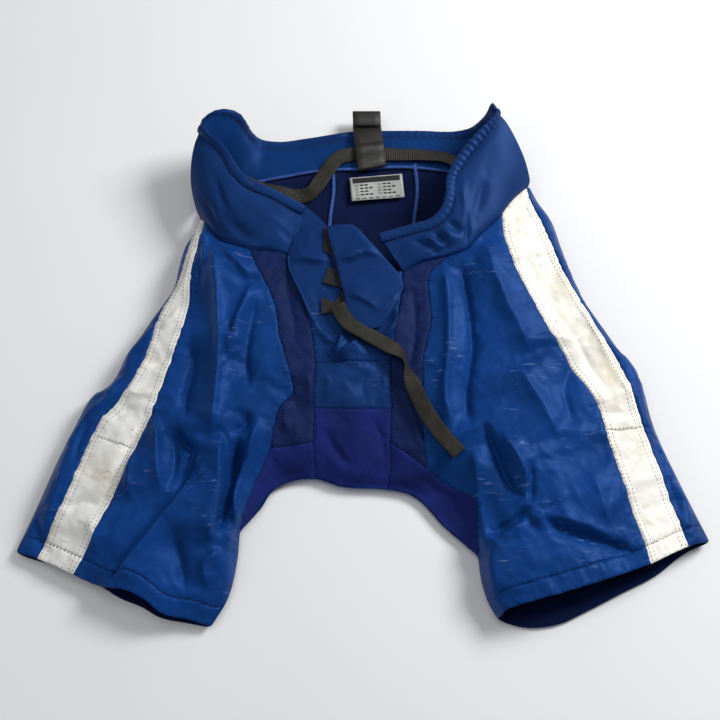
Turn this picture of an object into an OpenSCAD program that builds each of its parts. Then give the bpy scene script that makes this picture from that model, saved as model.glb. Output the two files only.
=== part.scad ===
// Hockey pant shell, laid on its back. X to the wearer's left, Y towards the waist, Z up from the seat.
// The wearer's right leg lies at -X. Each panel is a thin solid between the seam lines that bound it.

/* [Overall size] */
// Half the width across both hems
hem_reach = 394; // [380:1:405]
// Distance from the crotch line down to the lowest hem corner
hem_drop = 324; // [312:1:332]
// Height of the waist corners above the floor
ear_h = 78; // [66:1:86]

/* [Cloth] */
// Thickness of the nylon shell
nylon_t = 1.5; // [1:0.1:2]
// Thickness of the knit and mesh
knit_t = 1.2; // [0.8:0.1:1.6]
// Thickness of the padding in the waistband
foam_t = 4; // [2:0.5:5]
// Depth of the turned hems
hem_w = 20; // [14:1:26]
// Radius of the gathered casing along the waist
casing_r = 5; // [4:0.5:6]

/* [Webbing] */
// Width of the belt webbing
belt_w = 19; // [16:1:22]
// Thickness of the belt webbing
belt_t = 1.8; // [1.2:0.2:2.4]
// Width of the keeper and the hanger loop
keeper_w = 38; // [30:1:42]

/* [Swing] */
// Distance of each hip axis from the centre line
hip_x = 90; // [88:1:92]
// Radius at which a leg parts from the seat
hip_r = 172; // [170:1:174]

/* [Hidden] */

nylon = "#1f4796";
knit = "#272c72";
mesh = "#1d3378";
stripe = "#e6e0d2";
webbing = "#1a1a18";

gap = 0.3;                 // clear space between layers
seam = 1;                  // clear space between two panels at their seam
hip_y = -5;
crotch_x = -12;            // the crotch lies a little to the wearer's right
patch_w = 46;              // half the width of the crotch patch and gusset

// ---- Seam lines, wearer's right side ----
fold_line = [[-274, 28, 10], [-305, -36, 10], [-332, -82, 10], [-356, -128, 10],
             [-hem_reach + 9, 107 - hem_drop, 10]];
stripe_out_hip = [[-214, 158, 30], [-225, 100, 27], [-246, 30, 24]];
stripe_in_hip = [[-207, 152, 36], [-214, 92, 35], [-228, 8, 33]];
mesh_out = [[-144, 118, 49], [-112, 60, 49], [-95, -10, 46], [-87, -58, 43]];
hem_front = [[-hem_reach, 84 - hem_drop, 11], [-369, -252, 20], [-326, -272, 28], [-250, -304, 32],
             [-169, -hem_drop, 9]];
hem_back = [[-hem_reach + 3, 80 - hem_drop, nylon_t], [-330, -268, nylon_t], [-230, -312, nylon_t],
            [-158, -hem_drop, nylon_t]];

// ---- Waist lines: the top edge and the lower seam of each waistband piece ----
back_top = [[-199, 302, ear_h - 4], [-179, 312, ear_h + 1], [-160, 318, 52], [-148, 318, 22], [-120, 317, 10],
            [-60, 321, 9], [0, 326, 10], [70, 327, 10], [128, 328, 12], [148, 330, 24], [160, 328, 50],
            [172, 320, ear_h - 2], [188, 306, ear_h - 6]];
back_seam = [[-225, 203, 23], [-217, 212, 12], [-200, 226, 8], [-160, 246, 7], [-110, 256, 7],
             [-50, 261, 7], [0, 263, 7], [50, 263, 7], [110, 260, 7], [160, 250, 7],
             [200, 232, 8], [217, 218, 12], [222, 208, 26]];
right_top = [[-192, 289, ear_h - 5], [-179, 274, 72], [-161, 243, 68], [-146, 222, 66], [-120, 205, 62],
             [-94, 194, 58], [-76, 190, 56]];
right_seam = [[-217, 188, 36], [-207, 171, 40], [-184, 146, 47], [-164, 134, 49], [-142, 127, 50],
              [-116, 124, 50], [-93, 122, 50]];
left_top = [[170, 302, ear_h - 8], [142, 280, 70], [107, 240, 68], [98, 222, 66], [95, 198, 62],
            [84, 176, 59], [58, 166, 57], [22, 152, 57]];
left_seam = [[221, 202, 34], [207, 196, 40], [176, 178, 47], [148, 146, 49], [128, 132, 50],
             [108, 122, 50], [80, 110, 51], [52, 98, 52]];

// ---- Routes of the belt webbing ----
belt_route = [[-148, 240, 22], [-130, 236, 17], [-104, 229, 14], [-80, 225, 13], [-64, 234, 13],
              [-50, 254, 13], [-36, 274, 13], [-18, 287, 13], [10, 291, 13], [45, 291, 13], [80, 290, 13],
              [104, 285, 15], [120, 272, 22], [130, 258, 30]];
tail_route = [[-30, 42, 55], [-10, 28, 55], [10, 13, 54], [28, 0, 53], [42, -10, 53], [50, -22, 52],
              [53, -38, 50], [54, -56, 48], [64, -74, 46], [78, -94, 43], [94, -112, 40], [111, -131, 37]];

// ---- Fly: its panels lie in one tilted plane ----
fly_slope = 1 / 20;
hook_at = [[-44, 139, 12, 36], [-38, 100, 20, 24], [-34, 71, 30, 26]];  // centre x, y, width, height
function fly_z(y) = 47 + y * fly_slope;
function in_fly(points, lift) = [for (p = points) [p[0], p[1], fly_z(p[1]) + lift]];

// ---- Curves and grids ----
function mix(a, b, s) = a * (1 - s) + b * s;
function at(line, s) =
    let (f = s * (len(line) - 1), i = min(floor(f), len(line) - 2)) mix(line[i], line[i + 1], f - i);
function resample(line, n) = [for (i = [0:n]) at(line, i / n)];
function unit(v) = v / max(norm(v), 1e-9);
function flip(line) = [for (p = line) [-p[0], p[1], p[2]]];
function shift(line, v) = [for (p = line) p + v];
// An arc round the right hip axis, with heights z0 and z1 at its ends and a rise between them
function hip_arc(r, a0, a1, z0, z1, rise = 0, n = 8) =
    [for (i = [0:n]) let (s = i / n, a = mix(a0, a1, s))
        [-hip_x + r * cos(a), hip_y + r * sin(a), mix(z0, z1, s) + rise * sin(180 * s)]];

// Grid of points: the edges are its main rows, with `between` steps from one edge to the next
function grid(edges, n, between) =
    let (e = [for (l = edges) resample(l, n)], rows = (len(edges) - 1) * between)
    [for (r = [0:rows]) let (k = min(floor(r / between), len(e) - 2), s = r / between - k)
        [for (i = [0:n]) mix(e[k][i], e[k + 1][i], s)]];
function normal_at(g, r, i) =
    let (du = g[r][min(i + 1, len(g[0]) - 1)] - g[r][max(i - 1, 0)],
         dv = g[min(r + 1, len(g) - 1)][i] - g[max(r - 1, 0)][i], w = unit(cross(dv, du)))
    w[2] < 0 ? -w : w;
function faces_up(g) =
    let (m = floor(len(g[0]) / 2), r = floor((len(g) - 1) / 2))
    cross(g[r + 1][m] - g[r][m], g[r][m] - g[r][m - 1])[2] > 0;

// A sheet of cloth whose upper face lies `depth` under the surface through the edges
module cloth(edges, t, depth = 0, n = 8, between = 2) {
    g = grid(edges, n, between);
    rows = len(g);
    cols = n + 1;
    size = rows * cols;
    top = [for (r = [0:rows - 1]) for (i = [0:n]) g[r][i] - normal_at(g, r, i) * depth];
    under = [for (r = [0:rows - 1]) for (i = [0:n]) g[r][i] - normal_at(g, r, i) * (depth + t)];
    up = [for (r = [0:rows - 2]) for (i = [0:n - 1]) let (a = r * cols + i)
        each [[a, a + 1, a + cols], [a + 1, a + cols + 1, a + cols]]];
    down = [for (f = up) [f[2] + size, f[1] + size, f[0] + size]];
    rim = concat([for (i = [0:n]) i], [for (r = [1:rows - 1]) r * cols + n],
                 [for (i = [n - 1:-1:0]) (rows - 1) * cols + i], [for (r = [rows - 2:-1:1]) r * cols]);
    side = [for (k = [0:len(rim) - 1]) let (a = rim[k], b = rim[(k + 1) % len(rim)])
        each [[b, a, a + size], [b, a + size, b + size]]];
    all_faces = concat(up, down, side);
    polyhedron(concat(top, under), faces_up(g) ? all_faces : [for (f = all_faces) [f[2], f[1], f[0]]]);
}

// A section swept along a route; `lean` is a direction that the route never takes
function frame_at(route, i, lean) =
    let (t = unit(route[min(i + 1, len(route) - 1)] - route[max(i - 1, 0)]), s = unit(cross(t, lean)))
    [s, cross(s, t)];
module sweep(section, route, lean) {
    n = len(section);
    last = len(route) - 1;
    points = [for (i = [0:last]) let (f = frame_at(route, i, lean))
        for (p = section) route[i] + p[0] * f[0] + p[1] * f[1]];
    walls = [for (i = [0:last - 1]) for (k = [0:n - 1])
        let (a = i * n + k, b = i * n + (k + 1) % n) each [[a, a + n, b], [b, a + n, b + n]]];
    polyhedron(points, concat(walls, [[for (k = [0:n - 1]) k]], [[for (k = [n - 1:-1:0]) last * n + k]]));
}
function ring(r, a0, a1, n) = [for (k = [0:n]) let (a = mix(a0, a1, k / n)) [r * cos(a), r * sin(a)]];
function strap(w, t) = [[-w / 2, 0], [w / 2, 0], [w / 2, t], [-w / 2, t]];

back_lean = [0, 0.95, 0.3];
right_lean = [0.5, 0.8, 0.3];
left_lean = [-0.5, 0.8, 0.3];
up = [0, 0, 1];

// ---- Waistband ----
function back_edges() = [back_top, mixed(back_top, back_seam), back_seam];
function mixed(a, b) = [for (i = [0:len(a) - 1]) mix(a[i], b[i], 0.5)];
module back_layer(depth, t) { cloth(back_edges(), t, depth, n = 24); }
module back_waistband() { color(nylon) back_layer(foam_t + knit_t + 2 * gap, 1); }
module back_band_foam() { color("khaki") back_layer(knit_t + gap, foam_t); }
module back_band_lining() { color(nylon) back_layer(0, knit_t); }

module yoke_layer(top, low, depth, t) { cloth([top, low], t, depth, n = 14); }
module right_front_yoke() { color(nylon) yoke_layer(right_top, right_seam, 0, nylon_t); }
module right_yoke_foam() { color("khaki") yoke_layer(right_top, right_seam, nylon_t + gap, foam_t); }
module right_yoke_lining() {
    color(knit) yoke_layer(right_top, right_seam, nylon_t + foam_t + 2 * gap, knit_t);
}
module left_front_yoke() { color(nylon) yoke_layer(left_top, left_seam, 0, nylon_t); }
module left_yoke_foam() { color("khaki") yoke_layer(left_top, left_seam, nylon_t + gap, foam_t); }
module left_yoke_lining() {
    color(knit) yoke_layer(left_top, left_seam, nylon_t + foam_t + 2 * gap, knit_t);
}

// The casing is a folded strip, open towards the waistband, with its elastic inside
casing_wall = 1;
casing_fold = concat(ring(casing_r, -50, 230, 8), ring(casing_r - casing_wall, 230, -50, 8));
elastic_r = casing_r - casing_wall - 2 * gap;
function casing_route(top, lean) =
    [for (i = [0:len(top) - 1]) top[i] + frame_at(top, i, lean)[1] * (casing_r + 2 * seam) - [0, 0, 2]];
module casing(top, lean) { color(nylon) sweep(casing_fold, casing_route(top, lean), lean); }
module elastic(top, lean) { sweep(ring(elastic_r, 0, 315, 7), casing_route(top, lean), lean); }
module back_casing() { casing(back_top, back_lean); }
module right_front_casing() { casing(right_top, right_lean); }
module left_front_casing() { casing(left_top, left_lean); }
module waist_elastic() {
    color("white") {
        elastic(back_top, back_lean);
        elastic(right_top, right_lean);
        elastic(left_top, left_lean);
    }
}

// ---- Seat and knit lining ----
module seat_panel() {
    top = [[-220, 196, nylon_t], [-196, 222, nylon_t], [-160, 240, nylon_t], [-110, 250, nylon_t],
           [-50, 256, nylon_t], [50, 257, nylon_t], [110, 254, nylon_t], [160, 244, nylon_t],
           [196, 228, nylon_t], [220, 202, nylon_t]];
    leg_side = hip_arc(hip_r - seam / 2, 149, 262, nylon_t, nylon_t);
    gusset = [[-56, -154, nylon_t], [crotch_x, -164, nylon_t], [36, -160, nylon_t]];
    other = flip(leg_side);
    low = concat(leg_side, gusset, [for (i = [len(other) - 1:-1:0]) other[i]]);
    color(nylon) cloth([top, low], nylon_t, n = 24);
}
lining_z = nylon_t + gap + knit_t;
lining_low = 60;
module lining(x0, x1, top0, top1) {
    low = [[x0, lining_low, lining_z], [x1, lining_low, lining_z]];
    color(knit) cloth([low, [[x0, top0, lining_z], [x1, top1, lining_z]]], knit_t, n = 2);
}
module lining_centre() { lining(-38, 67, 255, 255); }
module lining_right() { lining(-200, -39, 214, 254); }
module lining_left() { lining(68, 200, 254, 218); }

// ---- Crotch ----
function across(y, z) = [[crotch_x - patch_w, y, z], [crotch_x, y, z + 2], [crotch_x + patch_w, y, z]];
module crotch_patch() { color(nylon) cloth([across(-18, 42), across(-73, 36)], nylon_t); }
module crotch_gusset() {
    low = [[-57, -153, 12], [crotch_x, -166, 11], [33, -162, 12]];
    color(knit) cloth([across(-75, 35), across(-118, 29), low], knit_t);
}
module mesh_panel(outer, inner) { color(mesh) cloth([outer, inner], knit_t, between = 3); }
module right_mesh_panel() {
    mesh_panel(shift(mesh_out, [2, 0, 0]), [[-91, 116, 49], [-73, 60, 48], [-59, -16, 43], [-59, -72, 37]]);
}
module left_mesh_panel() {
    mesh_panel([[104, 114, 50], [88, 66, 49], [78, -10, 46], [74, -58, 43]],
               [[54, 92, 50], [50, 40, 47], [36, -18, 43], [36, -72, 37]]);
}
module inner_thigh(top_in, low_in, top_out, low_out) {
    middle_in = mix(top_in, low_in, 0.5) + [0, 0, 6];
    middle_out = mix(top_out, low_out, 0.5) + [0, 0, 6];
    color(knit) cloth([[top_in, middle_in, low_in], [top_out, middle_out, low_out]], knit_t);
}
module right_inner_thigh() { inner_thigh([-59, -75, 35], [-58, -152, 11], [-86, -62, 42], [-108, -166, 9]); }
module left_inner_thigh() { inner_thigh([36, -75, 35], [36, -161, 11], [75, -62, 42], [108, -166, 9]); }

// ---- Hips: the panels that stay with the seat ----
module hip_front(top, arc_r) {
    edge = hip_arc(arc_r, 207, 261, 31, 12, 18);
    middle = [[-226, 36, 38], [-190, 30, 47], [-150, 10, 50], [-107, -2, 46]];
    color(nylon) cloth([top, middle, edge], nylon_t);
}
hip_top = [[-206, 166, 40], [-184, 142, 46], [-164, 130, 48], [-146, 120, 49]];
module right_hip_front() { hip_front(hip_top, hip_r - seam); }
module left_hip_front() { mirror([1, 0, 0]) hip_front(hip_top, hip_r - seam); }
module hip_side() {
    outer = [[-223, 182, 18], [-225, 150, 14], [-234, 104, 11], [-258, 54, 10]];
    inner = [[-215, 168, 28], [-220, 140, 28], [-228, 100, 25], [-243, 54, 24]];
    color(nylon) cloth([outer, inner], nylon_t);
}
module right_hip_side() { hip_side(); }
module left_hip_side() { mirror([1, 0, 0]) hip_side(); }
module stripe_upper() {
    edge = hip_arc(hip_r - seam, 181, 205, 23, 30);
    color(stripe)
        cloth([concat(stripe_out_hip, [edge[0]]), concat(stripe_in_hip, [edge[len(edge) - 1]])], nylon_t);
}
module right_stripe_upper() { stripe_upper(); }
module left_stripe_upper() { mirror([1, 0, 0]) stripe_upper(); }

// ---- Legs: the panels that swing about the hip axis ----
leg_r = hip_r + seam;
hem_up = [8, hem_w, 0];                       // from the hem edge to the hem's seam
stripe_hem = [[-367, -232, 21], [-322, -252, 28]];
module thigh_front() {
    low = [[-318, -254, 28], [-290, -266, 36], [-242, -286, 38], [-196, -302, 28], [-162, -304, 10]];
    middle = [[-284, -160, 32], [-240, -180, 46], [-195, -205, 46], [-146, -232, 12]];
    color(nylon) cloth([hip_arc(leg_r, 207, 261, 31, 12, 18), middle, low], nylon_t, between = 3);
}
module side_panel() {
    inner = concat(hip_arc(leg_r, 169, 179, 22, 22, n = 1), [stripe_hem[0] - [3, 0, 0]]);
    bend = shift(fold_line, [4, -2, 3]);
    outer = shift(fold_line, [0, 0, -5]);
    color(nylon) cloth([inner, bend, outer], nylon_t, n = 12);
}
module stripe_lower() {
    color(stripe) cloth([hip_arc(leg_r, 181, 205, 23, 30), stripe_hem], nylon_t, between = 4);
}
module thigh_back() {
    low = shift(hem_back, hem_up + [0, seam, 0]);
    color(nylon) cloth([hip_arc(leg_r, 156, 262, nylon_t, nylon_t), low], nylon_t, between = 3);
}
module front_hem() {
    color(nylon) cloth([shift(hem_front, [3, hem_w - seam, 0]), hem_front], nylon_t, n = 8);
}
module back_hem() { color(nylon) cloth([shift(hem_back, hem_up), hem_back], nylon_t, n = 8); }
module right_thigh_front() { thigh_front(); }
module right_side_panel() { side_panel(); }
module right_stripe_lower() { stripe_lower(); }
module right_thigh_back() { thigh_back(); }
module right_front_hem() { front_hem(); }
module right_back_hem() { back_hem(); }
module left_thigh_front() { mirror([1, 0, 0]) thigh_front(); }
module left_side_panel() { mirror([1, 0, 0]) side_panel(); }
module left_stripe_lower() { mirror([1, 0, 0]) stripe_lower(); }
module left_thigh_back() { mirror([1, 0, 0]) thigh_back(); }
module left_front_hem() { mirror([1, 0, 0]) front_hem(); }
module left_back_hem() { mirror([1, 0, 0]) back_hem(); }

// ---- Fly ----
module fly_underlap() {
    outer = [[-73, 186], [-87, 118], [-69, 64], [-54, 26]];
    inner = [[-48, 158], [-30, 108], [-14, 66], [-4, 22]];
    color(nylon) cloth([in_fly(outer, 0), in_fly(inner, 0)], nylon_t);
}
module tape(lift, t) {
    for (h = hook_at)
        translate([h[0] - h[2] / 2, h[1] - h[3] / 2, fly_z(h[1] - h[3] / 2) + lift])
            rotate([atan(fly_slope), 0, 0])
                cube([h[2], h[3], t]);
}
hook_lift = 1.6;
loop_lift = 3.4;
flap_lift = 6.6;
module hook_patches() { color(webbing) tape(hook_lift, 1.2); }
module loop_patches() { color("dimgray") tape(loop_lift, 1); }
module fly_flap() {
    free_edge = [[-46, 157], [-37, 108], [-26, 72], [-16, 58], [14, 32]];
    sewn_edge = [[-12, 157], [15, 130], [34, 106], [44, 78], [36, 46]];
    color(nylon) cloth([in_fly(free_edge, flap_lift), in_fly(sewn_edge, flap_lift)], nylon_t);
}
module fly_base() {
    top = in_fly([[-53, 22], [-20, 14], [16, 26], [44, 46]], -1);
    color(nylon) cloth([top, across(-16, 43)], nylon_t);
}

// ---- Belt, keeper, hanger loop and label ----
module belt_webbing() { color(webbing) sweep(strap(belt_w, belt_t), belt_route, up); }
module belt_tail() { color(webbing) sweep(strap(belt_w, belt_t), tail_route, up); }
keeper_x = 8;
function keeper_line(y, z) = [[keeper_x - keeper_w / 2, y, z], [keeper_x + keeper_w / 2, y, z]];
module belt_keeper() {
    color(webbing)
        cloth([keeper_line(322, 18), keeper_line(302, 19), keeper_line(278, 19), keeper_line(262, 14)],
              nylon_t, n = 2, between = 1);
}
loop_len = 20;
loop_h = 9;
module hanger_loop() {
    color(webbing)
        translate([keeper_x - keeper_w / 2, 332, 15.5])
            rotate([90, 0, 90])
                linear_extrude(keeper_w)
                    difference() {
                        union() {
                            square([loop_len - loop_h / 2, loop_h]);
                            translate([loop_len - loop_h / 2, loop_h / 2]) circle(d = loop_h, $fn = 32);
                        }
                        translate([-1, 2]) square([loop_len - loop_h / 2 + 1, loop_h - 4]);
                        translate([loop_len - loop_h / 2, loop_h / 2]) circle(d = loop_h - 4, $fn = 32);
                    }
}
label = [68, 35, 0.6];
module size_label() { color("silver") translate([-16, 261 - label[1], 9.2]) cube(label); }

seat_panel();
back_waistband();
back_band_foam();
back_band_lining();
back_casing();
lining_centre();
lining_right();
lining_left();
waist_elastic();
right_front_yoke();
right_yoke_foam();
right_yoke_lining();
right_front_casing();
left_front_yoke();
left_yoke_foam();
left_yoke_lining();
left_front_casing();
fly_underlap();
hook_patches();
fly_flap();
loop_patches();
fly_base();
crotch_patch();
crotch_gusset();
right_mesh_panel();
left_mesh_panel();
right_inner_thigh();
left_inner_thigh();
right_hip_front();
left_hip_front();
right_hip_side();
left_hip_side();
right_stripe_upper();
left_stripe_upper();
right_thigh_front();
right_side_panel();
right_stripe_lower();
right_thigh_back();
right_front_hem();
right_back_hem();
left_thigh_front();
left_side_panel();
left_stripe_lower();
left_thigh_back();
left_front_hem();
left_back_hem();
belt_webbing();
belt_tail();
belt_keeper();
hanger_loop();
size_label();
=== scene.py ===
import math
import random

import bmesh
import bpy
import numpy as np
from mathutils import Matrix, Vector, noise
from mathutils.bvhtree import BVHTree
from mathutils.geometry import delaunay_2d_cdt


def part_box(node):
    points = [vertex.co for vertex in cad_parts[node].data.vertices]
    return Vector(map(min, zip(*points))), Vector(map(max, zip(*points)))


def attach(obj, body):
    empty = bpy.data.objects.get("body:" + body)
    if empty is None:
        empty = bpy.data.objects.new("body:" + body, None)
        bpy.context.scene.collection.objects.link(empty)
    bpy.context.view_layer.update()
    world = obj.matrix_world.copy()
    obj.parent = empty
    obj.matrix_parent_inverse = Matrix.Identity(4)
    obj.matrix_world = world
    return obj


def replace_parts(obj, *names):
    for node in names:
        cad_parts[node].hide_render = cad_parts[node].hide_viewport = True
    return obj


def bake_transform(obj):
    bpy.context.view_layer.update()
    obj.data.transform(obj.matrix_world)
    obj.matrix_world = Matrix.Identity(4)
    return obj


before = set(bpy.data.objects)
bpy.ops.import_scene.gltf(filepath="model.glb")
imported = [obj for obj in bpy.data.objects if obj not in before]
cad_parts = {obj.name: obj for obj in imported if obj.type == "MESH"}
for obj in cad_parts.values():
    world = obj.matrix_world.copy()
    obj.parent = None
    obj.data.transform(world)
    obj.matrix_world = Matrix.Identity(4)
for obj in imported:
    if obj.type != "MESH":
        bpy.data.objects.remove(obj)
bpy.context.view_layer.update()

MM = 0.001
UP = np.array([0.0, 0.0, 1.0])
draws = random.Random(11)
scene = bpy.context.scene


# ---------------------------------------------------------------- camera, light and floor
def set_studio():
    """The camera looks down at the laid-out shell from its hem side, under soft daylight."""
    lens = bpy.data.cameras.new("studio_camera")
    lens.lens = 64
    lens.sensor_width = 36
    lens.shift_x = -0.0042
    lens.shift_y = -0.011
    camera = bpy.data.objects.new("studio_camera", lens)
    tilt = math.radians(66)
    camera.location = (0, -1.536 * math.cos(tilt), 0.03 + 1.536 * math.sin(tilt))
    camera.rotation_euler = (math.radians(24), 0, 0)
    scene.collection.objects.link(camera)
    scene.camera = camera
    for name, place, size, watts in (
        ("window_light", (1.6, 1.0, 1.5), 0.9, 50),
        ("ceiling_light", (-0.6, 0.3, 2.6), 1.8, 13),
        ("fill_light", (-1.8, -1.0, 1.3), 1.6, 4),
    ):
        lamp = bpy.data.lights.new(name, "AREA")
        lamp.size = size
        lamp.energy = watts
        lamp_object = bpy.data.objects.new(name, lamp)
        lamp_object.location = place
        lamp_object.rotation_euler = Vector(place).to_track_quat("Z", "Y").to_euler()
        scene.collection.objects.link(lamp_object)
    world = bpy.data.worlds.new("studio_air")
    world.use_nodes = True
    world.node_tree.nodes["Background"].inputs["Color"].default_value = (0.93, 0.96, 1, 1)
    world.node_tree.nodes["Background"].inputs["Strength"].default_value = 0.21
    scene.world = world
    scene.view_settings.view_transform = "Standard"
    bm = bmesh.new()
    bmesh.ops.create_grid(bm, x_segments=1, y_segments=1, size=6)
    floor = keep_mesh("studio_floor", bm)
    floor.data.materials.append(paper_floor())


# ---------------------------------------------------------------- materials
def linear(code):
    """An sRGB hex colour as linear light."""
    parts = [int(code[i:i + 2], 16) / 255 for i in (1, 3, 5)]
    return tuple(c / 12.92 if c <= 0.04045 else ((c + 0.055) / 1.055) ** 2.4 for c in parts) + (1.0,)


def add(tree, kind, settings=None, **sockets):
    """Adds a node: settings are its properties, sockets its inputs, given a value or the output to wire in."""
    node = tree.nodes.new("ShaderNode" + kind)
    for key, value in (settings or {}).items():
        setattr(node, key, value)
    for key, value in sockets.items():
        socket = node.inputs[int(key[1:])] if key[1:].isdigit() else node.inputs[key.replace("_", " ")]
        if isinstance(value, bpy.types.NodeSocket):
            tree.links.new(value, socket)
        else:
            socket.default_value = value
    return node


def finish_of(name, **constants):
    """A new material with its shader's steady values set on the shader itself."""
    made = bpy.data.materials.new(name)
    made.use_nodes = True
    shader = made.node_tree.nodes["Principled BSDF"]
    for key, value in constants.items():
        shader.inputs[key.replace("_", " ")].default_value = value
    return made, made.node_tree, shader


def ramp(tree, factor, stops):
    """A colour ramp from hex stops or grey values."""
    node = add(tree, "ValToRGB", Fac=factor)
    line = node.color_ramp.elements
    while len(line) < len(stops):
        line.new(0.5)
    for element, (place, value) in zip(line, stops):
        element.position = place
        element.color = linear(value) if isinstance(value, str) else (value, value, value, 1)
    return node.outputs["Color"]


def paper_floor():
    """Matt white backdrop paper."""
    made, tree, shader = finish_of("backdrop_paper", Roughness=0.95)
    grain = add(tree, "TexNoise", Vector=add(tree, "TexCoord").outputs["Object"], Scale=3.0, Detail=2.0)
    tree.links.new(ramp(tree, grain.outputs["Fac"], [(0.0, "#F4F4F4"), (1.0, "#FBFBFB")]), shader.inputs["Base Color"])
    return made


def shell_nylon(name="shell_nylon", light="#123F84", dark="#0D336C", scuff=1.0, gloss=0.46):
    """Woven nylon taffeta, calendered: a satin skin that shows every crease, with pale rubbed scuffs."""
    made, tree, shader = finish_of(name, Roughness=gloss, IOR=1.53, Specular_IOR_Level=0.30, Specular_Tint=linear("#5C92EA"))
    at = add(tree, "TexCoord").outputs["UV"]
    cloudy = add(tree, "TexNoise", Vector=at, Scale=11.0, Detail=5.0, Roughness=0.6)
    cloth = ramp(tree, cloudy.outputs["Fac"], [(0.34, dark), (0.66, light)])
    # scuffs: thin scratches, 0.5-1 mm wide, kept to rubbed patches about 60 mm across
    turned = add(tree, "Mapping", Vector=at, Rotation=(0, 0, 1.1), Scale=(34, 260, 1))
    scratch = add(tree, "TexNoise", Vector=turned.outputs["Vector"], Scale=1.0, Detail=3.0, Distortion=0.6)
    crossed = add(tree, "Mapping", Vector=at, Rotation=(0, 0, -0.4), Scale=(48, 330, 1))
    scratch_two = add(tree, "TexNoise", Vector=crossed.outputs["Vector"], Scale=1.0, Detail=3.0, Distortion=0.5)
    both = add(tree, "Math", {"operation": "MAXIMUM"}, _0=scratch.outputs["Fac"], _1=scratch_two.outputs["Fac"])
    patches = add(tree, "TexNoise", Vector=at, Scale=15.0, Detail=2.0)
    where = ramp(tree, patches.outputs["Fac"], [(0.55, 0.0), (0.66, 1.0)])
    thin = ramp(tree, both.outputs["Value"], [(0.64, 0.0), (0.72, 1.0)])
    worn = add(tree, "Math", {"operation": "MULTIPLY"}, _0=where, _1=thin)
    amount = add(tree, "Math", {"operation": "MULTIPLY"}, _0=worn.outputs["Value"], _1=0.34 * scuff)
    rubbed = add(tree, "Mix", {"data_type": "RGBA"}, _0=amount.outputs["Value"], _6=cloth, _7=linear("#9FB2DC"))
    tree.links.new(rubbed.outputs[2], shader.inputs["Base Color"])
    # crumple: fine broken facets between the folds, 8-20 mm across
    bent = add(tree, "TexNoise", {"noise_type": "RIDGED_MULTIFRACTAL"}, Vector=at, Scale=15.0, Detail=2.5, Distortion=0.3)
    soft = add(tree, "Bump", Height=bent.outputs["Fac"], Strength=0.16, Distance=0.002)
    # taffeta threads are 0.25 mm apart; drawn 1.2 mm apart so that the weave shows
    weave = add(tree, "TexWave", {"bands_direction": "X"}, Vector=at, Scale=130.0, Distortion=0.6, Detail=1.0)
    weft = add(tree, "TexWave", {"bands_direction": "Y"}, Vector=at, Scale=130.0, Distortion=0.6, Detail=1.0)
    threads = add(tree, "Math", {"operation": "ADD"}, _0=weave.outputs["Fac"], _1=weft.outputs["Fac"])
    fine = add(tree, "Bump", Height=threads.outputs["Value"], Strength=0.10, Distance=0.0003, Normal=soft.outputs["Normal"])
    tree.links.new(fine.outputs["Normal"], shader.inputs["Normal"])
    return made


def stripe_nylon(name, light, dark):
    """White nylon gone off-white: sweat-yellow clouds, grey rub marks and small brown spots."""
    made, tree, shader = finish_of(name, Roughness=0.5, IOR=1.53, Specular_IOR_Level=0.35)
    at = add(tree, "TexCoord").outputs["UV"]
    clouds = add(tree, "TexNoise", Vector=at, Scale=16.0, Detail=6.0, Roughness=0.65)
    cloth = ramp(tree, clouds.outputs["Fac"], [(0.30, dark), (0.52, light), (0.75, light)])
    spots = add(tree, "TexNoise", Vector=at, Scale=55.0, Detail=3.0, Distortion=1.2)
    marks = ramp(tree, spots.outputs["Fac"], [(0.66, 0.0), (0.76, 0.55)])
    stained = add(tree, "Mix", {"data_type": "RGBA"}, _0=marks, _6=cloth, _7=linear("#A08C66"))
    tree.links.new(stained.outputs[2], shader.inputs["Base Color"])
    bent = add(tree, "TexNoise", Vector=at, Scale=45.0, Detail=2.0, Distortion=0.5)
    soft = add(tree, "Bump", Height=bent.outputs["Fac"], Strength=0.25, Distance=0.003)
    # threads 0.25 mm apart, drawn 1.2 mm apart
    weave = add(tree, "TexWave", {"bands_direction": "DIAGONAL"}, Vector=at, Scale=130.0, Distortion=0.5, Detail=1.0)
    fine = add(tree, "Bump", Height=weave.outputs["Fac"], Strength=0.08, Distance=0.0003, Normal=soft.outputs["Normal"])
    tree.links.new(fine.outputs["Normal"], shader.inputs["Normal"])
    return made


def stretch_knit(name="stretch_knit", light="#1B2B74", dark="#152158"):
    """Brushed warp-knit polyester: matt, soft-edged, with fine wales."""
    made, tree, shader = finish_of(name, Roughness=0.9, IOR=1.5, Specular_IOR_Level=0.1, Sheen_Weight=0.03, Sheen_Roughness=0.5)
    at = add(tree, "TexCoord").outputs["UV"]
    clouds = add(tree, "TexNoise", Vector=at, Scale=24.0, Detail=5.0)
    # wales are 0.7 mm apart; drawn 1.6 mm apart so that they show
    wales = add(tree, "TexWave", {"bands_direction": "X"}, Vector=at, Scale=190.0, Distortion=1.2, Detail=2.0)
    both = add(tree, "Math", {"operation": "MULTIPLY_ADD"}, _0=wales.outputs["Fac"], _1=0.12, _2=clouds.outputs["Fac"])
    tree.links.new(ramp(tree, both.outputs["Value"], [(0.35, dark), (0.75, light)]), shader.inputs["Base Color"])
    bump = add(tree, "Bump", Height=wales.outputs["Fac"], Strength=0.25, Distance=0.0005)
    tree.links.new(bump.outputs["Normal"], shader.inputs["Normal"])
    return made


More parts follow.
